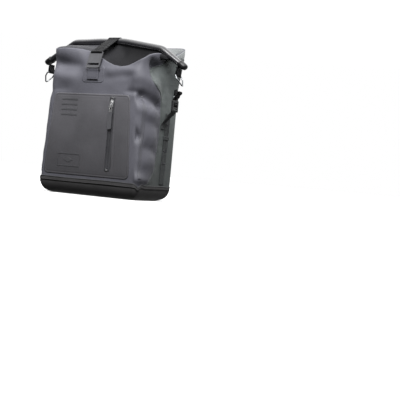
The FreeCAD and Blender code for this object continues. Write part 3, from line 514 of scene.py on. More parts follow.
def on_skin(s, h, lift=0.0):
    """Points of the skin at s and h, lifted off it."""
    s, h, lift = np.broadcast_arrays(np.asarray(s, float), np.asarray(h, float), np.asarray(lift, float))
    wrapped = (s + HALFWAY) % (2 * HALFWAY) - HALFWAY
    column = np.interp(wrapped, np.append(COLUMNS, HALFWAY), np.arange(len(COLUMNS) + 1))
    row = np.clip((h - LOW) / (crest(wrapped) - LOW), 0, 1) * (len(ROWS) - 1)
    c0 = np.floor(column).astype(int) % len(COLUMNS)
    c1 = (c0 + 1) % len(COLUMNS)
    r0 = np.minimum(np.floor(row).astype(int), len(ROWS) - 2)
    fc, fr = (column - np.floor(column))[..., None], (row - r0)[..., None]

    def sample(field):
        low = field[r0, c0] * (1 - fc) + field[r0, c1] * fc
        high = field[r0 + 1, c0] * (1 - fc) + field[r0 + 1, c1] * fc
        return low * (1 - fr) + high * fr

    normal = sample(NORMALS)
    normal = normal / np.linalg.norm(normal, axis=-1, keepdims=True)
    return sample(SKIN) + normal * lift[..., None]


WING_FROM, WING_TO, WING_H = 278, 354, 429                # where the rear of the neck takes a pale painted sheen


def make_body():
    """The skin itself, turned inwards at its top edge."""
    left = smooth(-GUSSET, -GUSSET + 40, COLUMNS) * (1 - smooth(-60, -10, COLUMNS))
    lip = []
    for step_in, rise in ((0.8, 1.6), (2.4, 2.2), (3.8, 1.0), (4.4, -3), (4.6, -10)):
        rises = np.where(rise > 0, rise * (1 - left), rise)
        lip.append(MOUTH - OUTWARD * step_in + UP * rises[:, None])
    grid = np.concatenate([SKIN, lip])
    piece = add_mesh("bag_body", grid, grid_faces(len(grid), len(COLUMNS), closed=True),
                     SHELL, "bag")
    piece.data.materials.append(WING_SHEEN)
    # faces high on the rear of the sides take the pale material, a painted sheen
    for polygon in piece.data.polygons:
        row, column = divmod(polygon.index, len(COLUMNS))
        if WING_FROM < abs(COLUMNS[column]) < WING_TO and row < len(SKIN) - 1:
            polygon.material_index = int(SKIN[row][column][2] > WING_H)
    solidify(piece, 2.2)
    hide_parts("front_panel", "front_lean", "gusset_right", "gusset_left", "side_strip_right",
                "side_strip_left", "rear_panel")


def laid_panel(name, s, h, lift, material, thickness):
    """A panel of the bag given as grids of s, h and lift."""
    piece = add_mesh(name, on_skin(s, h, lift), grid_faces(*s.shape), material, "bag",
                     uvs=np.stack([s, h], axis=2) * MM)
    solidify(piece, thickness)
    return piece


def rounded_patch(s_mid, h_mid, wide, tall, radius, count):
    """Grids of s and h that fill a rectangle with rounded corners, and the distance to its edge."""
    half = np.array([wide / 2, tall / 2])[:, None, None]
    straight = half - radius
    place = np.array(np.meshgrid(np.linspace(-1, 1, count[0]), np.linspace(-1, 1, count[1]))) * half
    past = np.maximum(np.abs(place) - straight, 0)
    squeeze = np.where((past > 0).all(axis=0), past.max(axis=0) / np.maximum(np.hypot(*past), 1e-6), 1)
    place = np.where(past > 0, np.sign(place) * (straight + past * squeeze), place)
    past = np.maximum(np.abs(place) - straight, 0)
    edge = np.where((past > 0).all(axis=0), radius - np.hypot(*past), (half - np.abs(place)).min(axis=0))
    return place[0] + s_mid, place[1] + h_mid, np.maximum(edge, 0)


STITCH_FACES = capped(4, 6)
TACK = {"pitch": 2.0, "length": 2.2, "width": 0.9}


def stitch_row(name, points, normals, body, slot="webbing", pitch=4.2, length=3.0, width=0.75):
    """A row of raised thread stitches along a line of points; normals are one, or one per point."""
    points = np.asarray(points, float)
    normals = np.broadcast_to(np.asarray(normals, float), points.shape)
    run = distances(points)
    verts, faces = [], []
    for middle in np.arange(pitch / 2, run[-1] - length / 2, pitch):
        here = sample(middle, run, points)
        along = unit(sample(middle + 0.5, run, points) - here)
        up = sample(middle, run, normals)
        up = unit(up - along * (up @ along))
        side = np.cross(up, along)
        faces += [tuple(len(verts) + i for i in face) for face in STITCH_FACES]
        for share, girth, sunk in ((-0.5, 0.35, 0.2), (-0.28, 0.9, 0), (0.28, 0.9, 0), (0.5, 0.35, 0.2)):
            for angle in np.arange(6) * math.pi / 3:
                verts.append(here + along * share * length + side * math.cos(angle) * girth * width / 2
                             + up * (math.sin(angle) * girth * 0.45 - sunk))
    return add_mesh(name, verts, faces, THREAD, body)


def skin_stitches(name, s, h, lift, slot="shell_fabric"):
    """Stitches along a line of (s, h) points on the skin."""
    base = on_skin(s, h, lift)
    return stitch_row(name, base, on_skin(s, h, lift + 1) - base, "bag", slot)


# ------------------------------------------------------------------ straps and tubes

def smooth_path(points, step):
    """A smooth line through points at even steps, and the distance along it."""
    points = np.asarray(points, float)
    padded = np.concatenate([[2 * points[0] - points[1]], points, [2 * points[-1] - points[-2]]])
    fine = []
    for p0, p1, p2, p3 in zip(padded, padded[1:], padded[2:], padded[3:]):
        for t in np.linspace(0, 1, 16, endpoint=False):
            fine.append(0.5 * (2 * p1 + (p2 - p0) * t + (2 * p0 - 5 * p1 + 4 * p2 - p3) * t ** 2
                               + (3 * p1 - p0 - 3 * p2 + p3) * t ** 3))
    fine = np.array(fine + [points[-1]])
    run = distances(fine)
    even = np.linspace(0, run[-1], max(2, int(round(run[-1] / step)) + 1))
    return sample(even, run, fine), even


def strap(name, points, wide, thick, side, body, material=WEBBING, step=3.0):
    """Webbing along a path; side is the direction across its width."""
    path, run = smooth_path(points, step)
    along = unit(np.gradient(path, axis=0))
    side = unit(side - along * (along @ np.array(side, float))[:, None])
    up = np.cross(along, side)
    w, t = wide / 2, thick / 2
    upper = [(-w, 0), (-w + 0.25 * t, 0.7 * t), (-w + 1.2, t), (-w + 3, 0.86 * t), (0, 0.92 * t),
             (w - 3, 0.86 * t), (w - 1.2, t), (w - 0.25 * t, 0.7 * t)]
    section = upper + [(-across, -rise) for across, rise in upper]
    count = len(section)
    verts = [path[i] + side[i] * across + up[i] * rise for i in range(len(path)) for across, rise in section]
    uvs = [(there, across + w) for there in run for across, _ in section]
    faces = [(a, d, c, b) for a, b, c, d in grid_faces(len(path), count, closed=True)]
    faces += [tuple(range(count)), tuple(range(len(verts) - 1, len(verts) - 1 - count, -1))]
    return add_mesh(name, verts, faces, material, body, uvs=uvs)


def tube(name, points, radius, body, material, sides=10, step=3.0):
    """A round bead along a path."""
    path, _ = smooth_path(points, step)
    side = unit(np.cross(unit(np.gradient(path, axis=0)), np.array([0.02, 0.03, 1.0])))
    up = np.cross(side, unit(np.gradient(path, axis=0)))
    angles = (2 * math.pi * np.arange(sides) / sides)[:, None]
    verts = path[:, None] + radius * (side[:, None] * np.cos(angles) + up[:, None] * np.sin(angles))
    return add_mesh(name, verts, capped(len(path), sides), material, body)


# ------------------------------------------------------------------ bag: boot, panels, pocket

def boot_edge(s):
    """Height of the boot's top edge: level in front, with a notch under each gusset's tip."""
    a = np.abs(s)
    return 47 - 10 * bump(a, 172, 13) - 4 * smooth(190, 215, a) + 0.6 * np.sin(s / 37)


BOOT_ROUNDING = 38.0


def make_boot():
    """Moulded boot: follows the skin a little outside it and closes underneath."""
    s = COLUMNS
    edge = boot_edge(s)
    x, y, nx, ny = outline(s, 40 + 0 * s)
    low_x, low_y, _, _ = outline(s, 8 + 0 * s)
    sides = 1 - smooth(346, 360, np.abs(s))
    rows = []
    for lift, share in ((1.9, 1.0), (2.3, 0.95), (2.3, 0.84), (2.2, 0.74)):
        height, out = edge * share, lift * sides
        mix = smooth(0, 40, height)
        rows.append(np.stack([low_x + (x - low_x) * mix + nx * out, low_y + (y - low_y) * mix + ny * out,
                              height], axis=1))
    for angle in np.linspace(0.02, 1, 14) * math.pi / 2:
        px, py, _, _ = outline(s, 8 + 0 * s, BOOT_ROUNDING * (1 - math.cos(angle)) - 1.8 * sides)
        rows.append(np.stack([px, py, BOOT_ROUNDING * (1 - math.sin(angle)) + 0 * s], axis=1))
    last = rows[-1]
    centre = np.array([0, (last[:, 1].min() + last[:, 1].max()) / 2, 0])
    for share in (0.93, 0.8, 0.6, 0.4, 0.2, 0.04):
        rows.append((centre + (last - centre) * share) * (1, 1, 0))
    faces = grid_faces(len(rows), len(s), closed=True, flip=True)
    first = (len(rows) - 1) * len(s)
    faces.append(tuple(range(first + len(s) - 1, first - 1, -1)))
    piece = add_mesh("boot", np.concatenate(rows), faces, BOOT, "bag")
    solidify(piece, 2.4)
    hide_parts("bottom_boot")
    for name, out, height, reach, radius, skin in (("boot_bead", 2.1, edge + 0.4, 352, 1.5, PIPING),
                                                   ("boot_rib", 2.5, edge * 0.8, 158, 0.9, BOOT)):
        line = np.stack([x + nx * out, y + ny * out, height], axis=1)
        tube(name, line[np.abs(s) < reach], radius, "bag", skin)


STRIP_EDGE = [(30, 178), (42, 206), (55, 224), (95, 252), (135, 259), (180, GUSSET), (250, 260), (292, 254),
              (314, 242), (328, 212), (342, 193), (368, 193), (380, 203), (390, 226), (400, 250), (412, 264),
              (470, 270)]
strip_edge = softened(STRIP_EDGE, 30, 470, 221, 11)       # s of the side panels' front edge at a height


def make_side_panels():
    """Firm panels over the rear of both sides; their front edges sweep forward to the boot."""
    foot, rear, shoulder = 33, 352, 433
    across, upward = np.meshgrid(np.linspace(0, 1, 46), np.linspace(0, 1, 100))
    for word, sign in SIDES:
        h = foot + (crest(sign * 300.0) - 4 - foot) * upward
        for _ in range(3):
            s = strip_edge(h) + (rear - strip_edge(h)) * across
            h = foot + (np.minimum(crest(sign * s) - 3, shoulder) - foot) * upward
        edge = np.minimum(across, 1 - across) * (rear - strip_edge(h))
        lift = 0.3 + 1.1 * smooth(0, 2.2, edge) - 0.5 * bump(edge, 6, 1.6)
        laid_panel("side_panel_" + word, sign * s[:, ::sign], h[:, ::sign], lift[:, ::sign],
                   PANEL, 0.9)
        line = np.linspace(44, 405, 120)
        skin_stitches("side_panel_stitches_" + word, sign * (strip_edge(line) + 3.4), line, 1.45)


def make_seam_tapes():
    """Welded tapes down the front corners."""
    half = 7.0
    u, v = np.meshgrid(np.linspace(-1, 1, 13), np.linspace(0, 1, 80))
    for word, sign in SIDES:
        low, high, _ = measured("seam_tape_" + word)
        tall = high[2] - low[2]
        s = sign * (FLAT + CORNER * math.radians(65)) + u * half
        edge = np.minimum(half * (1 - np.abs(u)), np.minimum(v, 1 - v) * tall)
        piece = laid_panel("corner_tape_" + word, s, low[2] + tall * v, 0.15 + 0.7 * smooth(0, 1.2, edge),
                           TAPE, 0.6)
        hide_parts("seam_tape_" + word)


def make_pocket():
    """Welded pocket with a raised border, slit for the zip."""
    low, high, mid = measured("front_pocket")
    (_, _, bottom), (_, _, top), (zip_x, _, _) = measured("zip_coil")
    s, h, edge = rounded_patch(mid[0], mid[2], high[0] - low[0], high[2] - low[2], 14, (133, 122))
    lift = 1.85 * smooth(0, 2.4, edge) - 1.2 * bump(edge, 6.5, 1.2) - 0.3 * bump(edge, 11.5, 5)
    lift += (1 - bump(s, zip_x, 26)) * smooth(9, 30, edge) * 0.16 * waves(s, h, 120, 21, 2)
    lift -= 0.6 * bump(np.abs(s - zip_x), 11.5, 1.6) * (h > bottom - 6) * (h < top + 6)
    faces = []
    for face in grid_faces(*s.shape):
        face_s, face_h = s.ravel()[list(face)].mean(), h.ravel()[list(face)].mean()
        if abs(face_s - zip_x) >= 2.2 or not bottom < face_h < top:
            faces.append(face)
    piece = add_mesh("pocket", on_skin(s, h, np.maximum(lift, 0.05)), faces, POCKET, "bag",
                     uvs=np.stack([s, h], axis=2) * MM)
    solidify(piece, 1.2)
    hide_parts("front_pocket")
    # crowned, glossy tapes that meet over the coil
    u, v = np.meshgrid(np.linspace(0, 1, 12), np.linspace(0, 1, 90))
    crown = np.sin(np.pi * np.clip(u * 1.15 + 0.08, 0, 1)) ** 0.6
    lift = np.where(u > 0.93, 1.9, 2.0 + 0.95 * crown * smooth(0, 0.02, v) * smooth(0, 0.02, 1 - v))
    for word, sign in SIDES:
        tape_low, tape_high, _ = measured("zip_tape_" + word)
        wide, _, tall = tape_high - tape_low
        grid = np.stack([zip_x + sign * (0.3 + u * wide), -FRONT - lift, tape_low[2] + tall * v], axis=2)
        tape = add_mesh("zip_band_" + word, grid[:, ::sign], grid_faces(90, 12), ZIP, "bag")
        solidify(tape, 0.7)
        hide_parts("zip_tape_" + word)
    turns = int((top - bottom) / 2.1)
    t = np.linspace(0, turns * 2 * math.pi, turns * 10)
    coil = np.stack([zip_x + 2.2 * np.cos(t), -FRONT - 0.85 + 0.5 * np.sin(t),
                     bottom + 1 + (top - bottom - 2) * t / t[-1]], axis=1)
    piece = tube("zip_teeth", coil, 0.42, "bag", ZIP, sides=6, step=1.6)
    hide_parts("zip_coil")


def make_patch():
    """Patch behind the hook, with a sewn border and the webbing that holds its bar."""
    low, high, mid = measured("buckle_patch")
    wide, _, tall = high - low
    s, h, edge = rounded_patch(STRAP_X, mid[2], wide, tall, 10, (40, 34))
    lift = 0.1 + 1.3 * smooth(0, 1.8, edge) - 0.5 * bump(edge, 5, 1.2)
    piece = laid_panel("hook_patch", s, h, lift, SHELL, 0.8)
    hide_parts("buckle_patch")
    angle = np.linspace(0, 2 * math.pi, 160)
    line_s, line_h = ((size / 2 - 5) * np.sign(wave) * np.abs(wave) ** 0.32
                      for size, wave in ((wide, np.cos(angle)), (tall, np.sin(angle))))
    skin_stitches("hook_patch_stitches", STRAP_X + line_s, mid[2] + line_h, 1.1, "seam_tape")
    low, high, _ = measured("patch_webbing")
    bottom = low[2]
    _, bar_y, bar_h = measured("patch_bar")[2]
    loop = [(-FRONT - 2.4, bottom), (-FRONT - 2.6, bottom + 14), (-FRONT - 2.8, bar_h - 4)]
    loop += arc((bar_y, bar_h), (2.75, 2.75), -63, 225, 9)
    loop += [(-FRONT - 5.2, bar_h - 7), (-FRONT - 4.9, bottom + 14), (-FRONT - 4.7, bottom + 3)]
    piece = strap("patch_loop", [(STRAP_X, y, up) for y, up in loop], high[0] - low[0], 1.7, (1, 0, 0),
                  "bag", SHELL, 1.5)
    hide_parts("patch_webbing")
    for rise in (4, 9):
        line = [(x, -FRONT - 5.75, bottom + rise) for x in np.linspace(STRAP_X - 16, STRAP_X + 16, 20)]
        stitch_row("patch_loop_stitches_%d" % rise, line, (0, -1, 0), "bag")


def make_side_webbing():
    """Webbing, keepers, straps and bar tacks down both rear strips."""
    for word, sign in SIDES:
        low, high, mid = measured("side_webbing_" + word)
        wide = high[1] - low[1]
        middle = sign * (SIDE + (mid[1] + FRONT - CORNER))
        h = np.linspace(low[2], high[2], 40)
        piece = strap("side_webbing_sewn_" + word, on_skin(middle, h, 2.6), wide, 1.9, (0, 1, 0), "bag",
                      SIDE_WEB, 4)
        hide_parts("side_webbing_" + word)
        for place, edge in (("front", -1), ("rear", 1)):
            rail = on_skin(middle + edge * (wide / 2 - 2.6), h, 3.65)
            stitch_row("side_webbing_stitches_%s_%s" % (word, place), rail[1:-1], (sign, 0, 0), "bag")
        across = np.linspace(-wide / 2 + 2, wide / 2 - 2, 24)
        for name, level in (("low", 113), ("mid", 150), ("high", 228)):
            tack = on_skin(middle + across, level + 1.6 * np.where(np.arange(24) % 2, 1, -1), 3.75)
            stitch_row("bar_tack_%s_%s" % (name, word), tack, (sign, 0, 0), "bag", **TACK)
        low, high, mid = measured("webbing_keeper_" + word)
        run = np.linspace(-1, 1, 17)
        keeper = on_skin(middle + run * (wide / 2 + 2.2), mid[2], 1.6 + 3.0 * (1 - np.abs(run) ** 8))
        piece = strap("keeper_" + word, keeper, high[2] - low[2], 1.3, (0, 0, 1), "bag", SIDE_WEB, 1.5)
        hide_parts("webbing_keeper_" + word)
        # strap that rises to the ladder lock and turns round its bar
        bar_x, bar_y, _ = measured("ladder_lock_" + word)[2]
        low, high, _ = measured("daisy_strap_" + word)
        foot = measured("side_strap_" + word)[0][2]
        root = sign * (HALF + 4.2) - bar_x
        path = [(root, foot), (root, foot + 14), (root + sign * 7, foot + 25),
                (-sign * 14, LOCK_H - 14), (-sign * 4.2, LOCK_H - 3.4)]
        path += arc((0, LOCK_H), (sign * LOCK_BAR, LOCK_BAR), 207, -81, 9)
        path += [(-sign * 2, LOCK_H - 7.5), (-sign * 14, LOCK_H - 18.5), (-sign * 24, LOCK_H - 29)]
        piece = strap("lower_strap_" + word, [(bar_x + x, bar_y, up) for x, up in path], high[1] - low[1],
                      1.7, (0, 1, 0), "bag", SIDE_WEB, 1.6)
        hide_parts("side_strap_" + word)


def make_d_ring_loops():
    """Sewn loops for the D-rings."""
    for word, sign in SIDES:
        low, high, (_, y, _) = measured("d_ring_loop_" + word)
        top = high[2]
        path = [(2.6, top + 2), (2.5, top - 10), (2.2, RING_H + 4)]
        path += arc((4.2, RING_H), (2.9, 2.9), 162, 378, 8)
        path += [(5.4, RING_H + 6), (4.5, top - 10), (4.2, top)]
        piece = strap("ring_loop_" + word, [(sign * (HALF + out), y, up) for out, up in path],
                      high[1] - low[1], 1.4, (0, 1, 0), "bag", step=1.4)
        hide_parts("d_ring_loop_" + word)
        tack = [(sign * (HALF + 5.2), y - 7 + 14 * t, top - 6 + 1.5 * (-1) ** i)
                for i, t in enumerate(np.linspace(0, 1, 14))]
        stitch_row("ring_loop_tack_" + word, tack, (sign, 0, 0), "bag", **TACK)


# ------------------------------------------------------------------ closure: roll, neck, strap

ROLL_OUT = 105.0
ROLL_CORNERS = [(-246.0, 407.0), (-150.0, 463.0), (20.0, 467.0), (158.0, 446.0), (228.0, 401.0)]
ROLL_BENDS = [36.0, 200.0, 36.0]


def rounded_line(corners, radii, step=1.0):
    """Points at even steps along straight runs joined by tangent arcs."""
    corners = [np.array(c, float) for c in corners]
    points = [corners[0]]
    for back, corner, ahead, radius in zip(corners, corners[1:], corners[2:], radii):
        into, away = corner - back, ahead - corner
        into, away = into / np.linalg.norm(into), away / np.linalg.norm(away)
        half = math.acos(float(np.clip(into @ away, -1, 1))) / 2
        reach = radius * math.tan(half)
        for k in np.linspace(0, 1, 13):
            first, second = corner - into * reach * (1 - k), corner + away * reach * k
            points.append(first * (1 - k) + second * k)
    points = np.array(points + [corners[-1]])
    run = np.concatenate([[0], np.cumsum(np.linalg.norm(np.diff(points, axis=0), axis=1))])
    even = np.linspace(0, run[-1], int(run[-1] / step) + 1)
    return np.interp(even, run, points[:, 0]), np.interp(even, run, points[:, 1]), even


ROLL_X, ROLL_Z, ROLL_RUN = rounded_line(ROLL_CORNERS, ROLL_BENDS)
ROLL_RUN = ROLL_RUN - np.interp(0, ROLL_X, ROLL_RUN)
ROLL_TURN = -np.arctan2(np.gradient(ROLL_Z), np.gradient(ROLL_X))
ROLL_LEFT, ROLL_RIGHT = ROLL_RUN[0], ROLL_RUN[-1]


def roll_line(t):
    """Middle of the roll (x, height, downward turn) at a distance t to the right of x = 0."""
    return np.interp(t, ROLL_RUN, ROLL_X), np.interp(t, ROLL_RUN, ROLL_Z), np.interp(t, ROLL_RUN, ROLL_TURN)


def roll_girth(t, deep, tall):
    """Half depth and half height of the roll at t: slimmer at its ends and pressed under the strap."""
    share = np.where(t < 0, t / ROLL_LEFT, t / ROLL_RIGHT)
    return deep * (1 - 0.22 * share ** 2), tall * (1 - 0.30 * share ** 2) - 1.6 * bump(t, STRAP_X, 24)


def make_roll():
    """Three turns of fabric rolled round the stay; the outer turn's edge shows along the front."""
    t = np.linspace(ROLL_LEFT, ROLL_RIGHT, 150)
    angle = np.linspace(0, 2 * math.pi, 49)[:-1]
    x, z, turn = (value[:, None] for value in roll_line(t))
    deep, tall = (value[:, None] for value in roll_girth(t, 15.0, 12.0))
    # the step is where the outer turn ends, low on the front
    spiral = 1.6 * ((angle - math.radians(205)) % (2 * math.pi)) / (2 * math.pi) - 0.8
    swell = 0.5 * np.sin(3 * angle + t[:, None] / 60) + 0.7 * waves(t[:, None], angle * 14, 90, 31, 2)
    scale = 1 + (spiral + 0.45 * swell) / 14
    rise = tall * np.sin(angle) * scale * np.where(np.sin(angle) < 0, 1.22, 1)
    grid = np.stack([x + rise * np.sin(turn), deep * np.cos(angle) * scale - ROLL_OUT,
                     z + rise * np.cos(turn)], axis=2)
    piece = add_mesh("roll", grid, capped(*grid.shape[:2]), ROLL, "closure")
    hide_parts("closure_roll")
    # welded hem along the outer turn's edge
    x, z, turn = roll_line(t)
    deep, tall = roll_girth(t, 15.4, 12.4)
    rise = 1.22 * tall * math.sin(math.radians(203))
    hem = np.stack([x + rise * np.sin(turn), deep * math.cos(math.radians(203)) - ROLL_OUT,
                    z + rise * np.cos(turn)], axis=1)
    tube("roll_hem", hem[::2], 0.9, "closure", ROLL, sides=8)


def make_roll_ends():
    """Moulded grips that close the roll's two ends, with a collar and a rounded nose."""
    profile = ((-9, 0.98), (-9, 1.06), (-7.5, 1.1), (-5.5, 1.1), (-4.5, 1.02), (6, 1.0), (11, 0.93),
               (14, 0.8), (15.5, 0.6), (16.2, 0.3), (16.3, 0.02))
    for word, sign, tip in (("right", 1, ROLL_RIGHT), ("left", -1, ROLL_LEFT)):
        x, z, turn = (float(value) for value in roll_line(tip))
        along = np.array([math.cos(turn), 0, -math.sin(turn)]) * sign
        rise = np.array([math.sin(turn), 0, math.cos(turn)])
        rows = [np.array([x, 13.2 * share * math.cos(angle) - ROLL_OUT, z]) + along * reach
                + rise * 10.0 * share * math.sin(angle)
                for reach, share in profile for angle in np.linspace(0, 2 * math.pi, 33)[:-1]]
        piece = add_mesh("roll_grip_" + word, rows, capped(len(profile), 32, flip=sign < 0), LOCK,
                         "closure")
        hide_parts("roll_end_" + word)


def make_neck():
    """Fabric from the bag's mouth up to the roll, one continuous sheet all the way round."""
    s, a = COLUMNS, np.abs(COLUMNS)
    front = a <= GUSSET
    slack = np.where(front, smooth(-60, -10, s) * (1 - smooth(235, 260, s)), 1)
    start = MOUTH - OUTWARD * (0.6 + 2.4 * slack)[:, None]
    share = np.where(front, a / GUSSET, (HALFWAY - a) / (HALFWAY - GUSSET))
    x, z, turn = roll_line(share * np.where(s < 0, ROLL_LEFT + 4, ROLL_RIGHT - 4))
    depth = np.where(front, -8.0, 9.0) * (1 - smooth(0.75, 1.0, share))
    end = np.stack([x - 6.5 * np.sin(turn), -ROLL_OUT + depth, z - 6.5 * np.cos(turn)], axis=1)
    # handles: the sheet leaves the mouth upwards and inwards and meets the roll from outside
    gap = end - start
    reach = np.linalg.norm(gap, axis=1, keepdims=True)
    ahead = 1 - smooth(300, 360, a)[:, None]
    first = start + gap * 0.18 + (UP * 0.30 * ahead - OUTWARD * 0.1) * reach * 0.45
    second = start + gap * 0.72 - UP * reach * 0.10 * ahead
    hollow = (smooth(-20, 45, s) * (1 - smooth(190, 240, s)))[:, None]
    first += hollow * (start - OUTWARD * 30 - UP * 7 - first)
    second += hollow * (end - np.array([0, 4.0, 0]) - UP * 0.55 * reach - second)
    steps = np.linspace(0, 1, 34)
    k = steps[:, None, None]
    sheet = (1 - k) ** 3 * start + 3 * (1 - k) ** 2 * k * first + 3 * (1 - k) * k ** 2 * second + k ** 3 * end
    grid = np.concatenate([[start - UP * 9, start - UP * 3], sheet])
    share = np.concatenate([[0, 0], steps])[:, None]
    pleats = np.sin(s / 9.5 + 2 * np.sin(share * 3)) * bump(a, 190, 45)
    ripple = np.sin(np.pi * share) * (1.6 * waves(s + 0 * share, share * 90, 60, 41, 3) + 1.8 * pleats)
    ripple *= 1 - 0.7 * smooth(365, 380, a)
    grid = grid + skin_normals(grid) * ripple[..., None]
    piece = add_mesh("neck", grid, grid_faces(len(grid), len(s), closed=True), SHADED_NECK, "closure")
    # the rear of the neck takes the lighter copy of the fabric, a painted sheen
    piece.data.materials.append(HOOD_SHEEN)
    piece.data.polygons.foreach_set("material_index", np.tile(np.where(a > 285, 1, 0), len(grid) - 1))
    solidify(piece, 1.6)
    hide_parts("neck_front", "neck_roof", "neck_side_right", "neck_side_left")


def box_stitches(name, middles, normal, wide):
    """Stitching round a rectangle of strap: two rows along it and one across each end."""
    middles = np.asarray(middles, float)
    for word, side in (("left", -1), ("right", 1)):
        rail = middles + np.array([side * (wide / 2 - 3), 0, 0])
        stitch_row("%s_%s" % (name, word), rail, normal, "closure")
    for word, index in (("upper", 0), ("lower", -1)):
        across = middles[index] + np.outer(np.linspace(-wide / 2 + 4, wide / 2 - 4, 12), (1, 0, 0))
        stitch_row("%s_%s" % (name, word), across, normal, "closure")


def make_centre_strap():
    """Strap sewn to the rear edge, over the roll and round the hook's bar, its tail sewn back."""
    path = [(9, 470.2), (34, 470.4), (66, 472.5)]
    path += arc((ROLL_OUT, roll_line(STRAP_X)[1] - 0.4), (-16.8, 13.6), 28.8, 154.8, 7)
    start, bar = np.array(path[-1]), np.array([HOOK_OUT - 2.6, HOOK_H + 3.4])
    path += [tuple(start + (bar - start) * share) for share in (0.2, 0.5, 0.8, 0.95)]
    path += arc((HOOK_OUT, HOOK_H), (3.3, 3.3), 100, -150, 11)
    slope = (start[1] - bar[1]) / (bar[0] - start[0])
    path += [(HOOK_OUT - back, HOOK_H + 0.2 + slope * back) for back in (7, 14, 26, 38)]
    low, high, _ = measured("centre_strap")
    wide = high[0] - low[0]
    piece = strap("closing_strap", [(STRAP_X, -out, up) for out, up in path], wide, 1.9, (1, 0, 0), "closure",
                  step=1.6)
    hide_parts("centre_strap")
    sewn = [(STRAP_X, back - HOOK_OUT, HOOK_H + 4.2 + slope * back) for back in np.linspace(36, 13, 12)]
    box_stitches("strap_stitches", sewn, unit(np.array([0, -slope, 1])), wide)
    rear = [(STRAP_X, -out, 471.3) for out in np.linspace(12, 30, 10)]
    box_stitches("strap_root_stitches", rear, (0, 0, 1), wide)


def make_end_straps():
    """Short straps sewn into the roll's ends, each looped round the bar of its wire hook."""
    for word, sign in SIDES:
        low, high, (_, y, _) = measured("end_strap_" + word)
        hook_low, hook_high, _ = measured("side_hook_" + word)
        bar_x = hook_low[0] + 2 if sign > 0 else hook_high[0] - 2
        bar_h, top = hook_high[2] - 2.3, high[2]
        path = [(0.8, top + 5), (2.4, top - 4), (3.2, bar_h + 5)]
        path += arc((0, bar_h), (3.3, 3.3), 15, -195, 9)
        path += [(-2.2, bar_h + 7), (-0.3, top - 3), (-1.4, top + 4)]
        piece = strap("end_loop_" + word, [(bar_x + sign * out, y, up) for out, up in path],
                      high[1] - low[1], 1.8, (0, 1, 0), "closure", step=1.5)
        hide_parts("end_strap_" + word)
        for row, level in (("upper", top - 3), ("lower", top - 8)):
            line = [(bar_x + sign * 3.4, y + across, level) for across in np.linspace(-10, 10, 12)]
            stitch_row("end_loop_stitches_%s_%s" % (word, row), line, (sign, 0, 0), "closure")


def make_daisy_straps():
    """Daisy-chain webbing laced through each ladder lock, with sewn loops for the hook."""
    chain = [(-4.2, 6), (-4.0, 9), (0, 12.2), (4.0, 16.8), (0, 21.2), (-4.0, 26.5), (-3.4, 31), (0.5, 35),
             (4, 40), (8, 48), (12, 56)]
    loops = [(2.6, 35), (7.6, 38.5), (9.2, 43), (10.6, 46.5), (14.8, 49.5), (16.0, 53.5), (13.6, 56.5)]
    for word, sign in SIDES:
        x, y, _ = measured("ladder_lock_" + word)[2]
        low, high, _ = measured("daisy_strap_" + word)
        wide = high[1] - low[1]
        body = "adjuster_" + word
        chain_path, loop_path = ([(x + sign * out, y, LOCK_H + up) for out, up in path]
                                 for path in (chain, loops))
        piece = strap("daisy_chain_" + word, chain_path, wide, 1.8, (0, 1, 0), body, step=1.4)
        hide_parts("daisy_strap_" + word)
        strap("daisy_loops_" + word, loop_path, wide * 0.9, 1.4, (0, 1, 0), body, step=1.2)


for make in (make_body, make_boot, make_side_panels, make_seam_tapes, make_pocket, make_patch,
             make_side_webbing, make_d_ring_loops, make_roll, make_roll_ends, make_neck,
             make_centre_strap, make_end_straps, make_daisy_straps):
    make()

# ------------------------------------------------------------------ carried-over CAD nodes

FINISH = {
    "zip_slider": (CHROME, 0.5), "zip_pull": (CHROME, 0.4), "zip_stops": (CHROME, 0.4),
    "pull_tab": (RUBBER, 1.0), "badge_frame": (MARK, 0.25), "pocket_ribs": (MARK, 0.3),
    "patch_bar": (BUCKLE, 0.0), "front_hook": (BUCKLE, 0.5), "base_board": (STIFF, 0.4),
    "back_board": (STIFF, 0.5), "back_plate": (PLATE, 0.4), "plate_rivets": (CHROME, 0.4),
    "roll_stay": (STIFF, 0.2),
    "side_hook_right": (RING, 0.0), "side_hook_left": (RING, 0.0),
    "ladder_lock_right": (LOCK, 0.6), "ladder_lock_left": (LOCK, 0.6),
    "d_ring_right": (RING, 0.0), "d_ring_left": (RING, 0.0),
}
for name, (material, width) in FINISH.items():
    part = NODES[name]
    part.data.materials.clear()
    part.data.materials.append(material)
    if width:
        bevel(part, width)


# ------------------------------------------------------------------ stage, light and camera

def make_key():
    """One large soft lamp above the front, a little to the right."""
    place, target = Vector((1.0, -2.4, 2.6)), Vector((0, -0.1, 0.05))
    data = bpy.data.lights.new("key", "AREA")
    data.energy, data.shape = 150, "RECTANGLE"
    data.size = data.size_y = 2.0
    lamp = linked("key", data)
    lamp.location = place
    lamp.rotation_mode = "QUATERNION"
    lamp.rotation_quaternion = (target - place).to_track_quat("-Z", "Y")


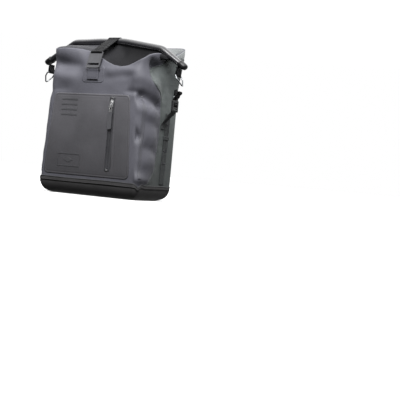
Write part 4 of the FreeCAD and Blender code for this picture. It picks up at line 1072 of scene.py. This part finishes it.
def make_stage():
    """Plain pale floor, wide enough to meet the bright surroundings far away."""
    reach = 40.0
    mesh = bpy.data.meshes.new("floor")
    mesh.from_pydata([(-reach, -reach, BASE), (reach, -reach, BASE), (reach, reach, BASE),
                      (-reach, reach, BASE)], [], [(0, 1, 2, 3)])
    floor = linked("floor", mesh)
    mesh.materials.append(new_material("floor_paper", (0.80, 0.80, 0.80), 0.9, specular=0.1)[0])
    floor.visible_diffuse = False
    floor.visible_glossy = False


OVERHEAD = 2.0                                            # brightness straight above


def make_world():
    """Soft studio surroundings: bright overhead and behind, dim in front, below and to the left."""
    world = bpy.data.worlds.new("studio")
    world.use_nodes = True
    tree = world.node_tree
    ray = node(tree, "TexCoord").outputs["Generated"]
    height = node(tree, "SeparateXYZ", {"Vector": ray}).outputs["Z"]
    behind, left = (node(tree, "VectorMath", {0: ray, 1: way}, operation="DOT_PRODUCT").outputs["Value"]
                    for way in ((-0.55, 0.835, 0), (-0.93, -0.37, 0)))
    level = combined(tree, "ADD", spread(tree, behind, 0.09, 1.0, 0.15, 0.7),
                     spread(tree, height, 0.0, OVERHEAD, 0.15, 0.8))
    for dimmed in (spread(tree, height, 0.4, 1.0, -0.06, 0.0), spread(tree, left, 1.0, 0.25, 0.45, 0.85)):
        level = combined(tree, "MULTIPLY", level, dimmed)
    set_inputs(tree, tree.nodes["Background"], {"Strength": level, "Color": (1, 1, 1, 1)})
    bpy.context.scene.world = world


def make_camera():
    """Camera ahead of the bag, to its right and low; the bag leans clockwise in the frame."""
    azimuth, height, distance = math.radians(33.40), 79.2, 2469.4
    yaw, pitch, roll = 0.46583, -0.026463, 0.089356
    eye = np.array([math.sin(azimuth) * distance, -102.5 - math.cos(azimuth) * distance, height])
    forward = Vector((-math.sin(yaw) * math.cos(pitch), math.cos(yaw) * math.cos(pitch), math.sin(pitch)))
    right = forward.cross(Vector((0, 0, 1))).normalized()
    upward = right.cross(forward)
    right, upward = (math.cos(roll) * right + math.sin(roll) * upward,
                     -math.sin(roll) * right + math.cos(roll) * upward)
    data = bpy.data.cameras.new("camera")
    data.lens, data.sensor_width = 72.75, 36.0
    data.clip_start, data.clip_end = 0.05, 60
    camera = linked("camera", data)
    turn = Matrix((right, upward, -forward)).transposed().to_4x4()
    turn.translation = Vector(to_row(eye)[0])
    camera.matrix_world = turn
    bpy.context.scene.camera = camera


make_stage()
make_world()
make_camera()
make_key()
bpy.context.scene.view_settings.view_transform = "Standard"
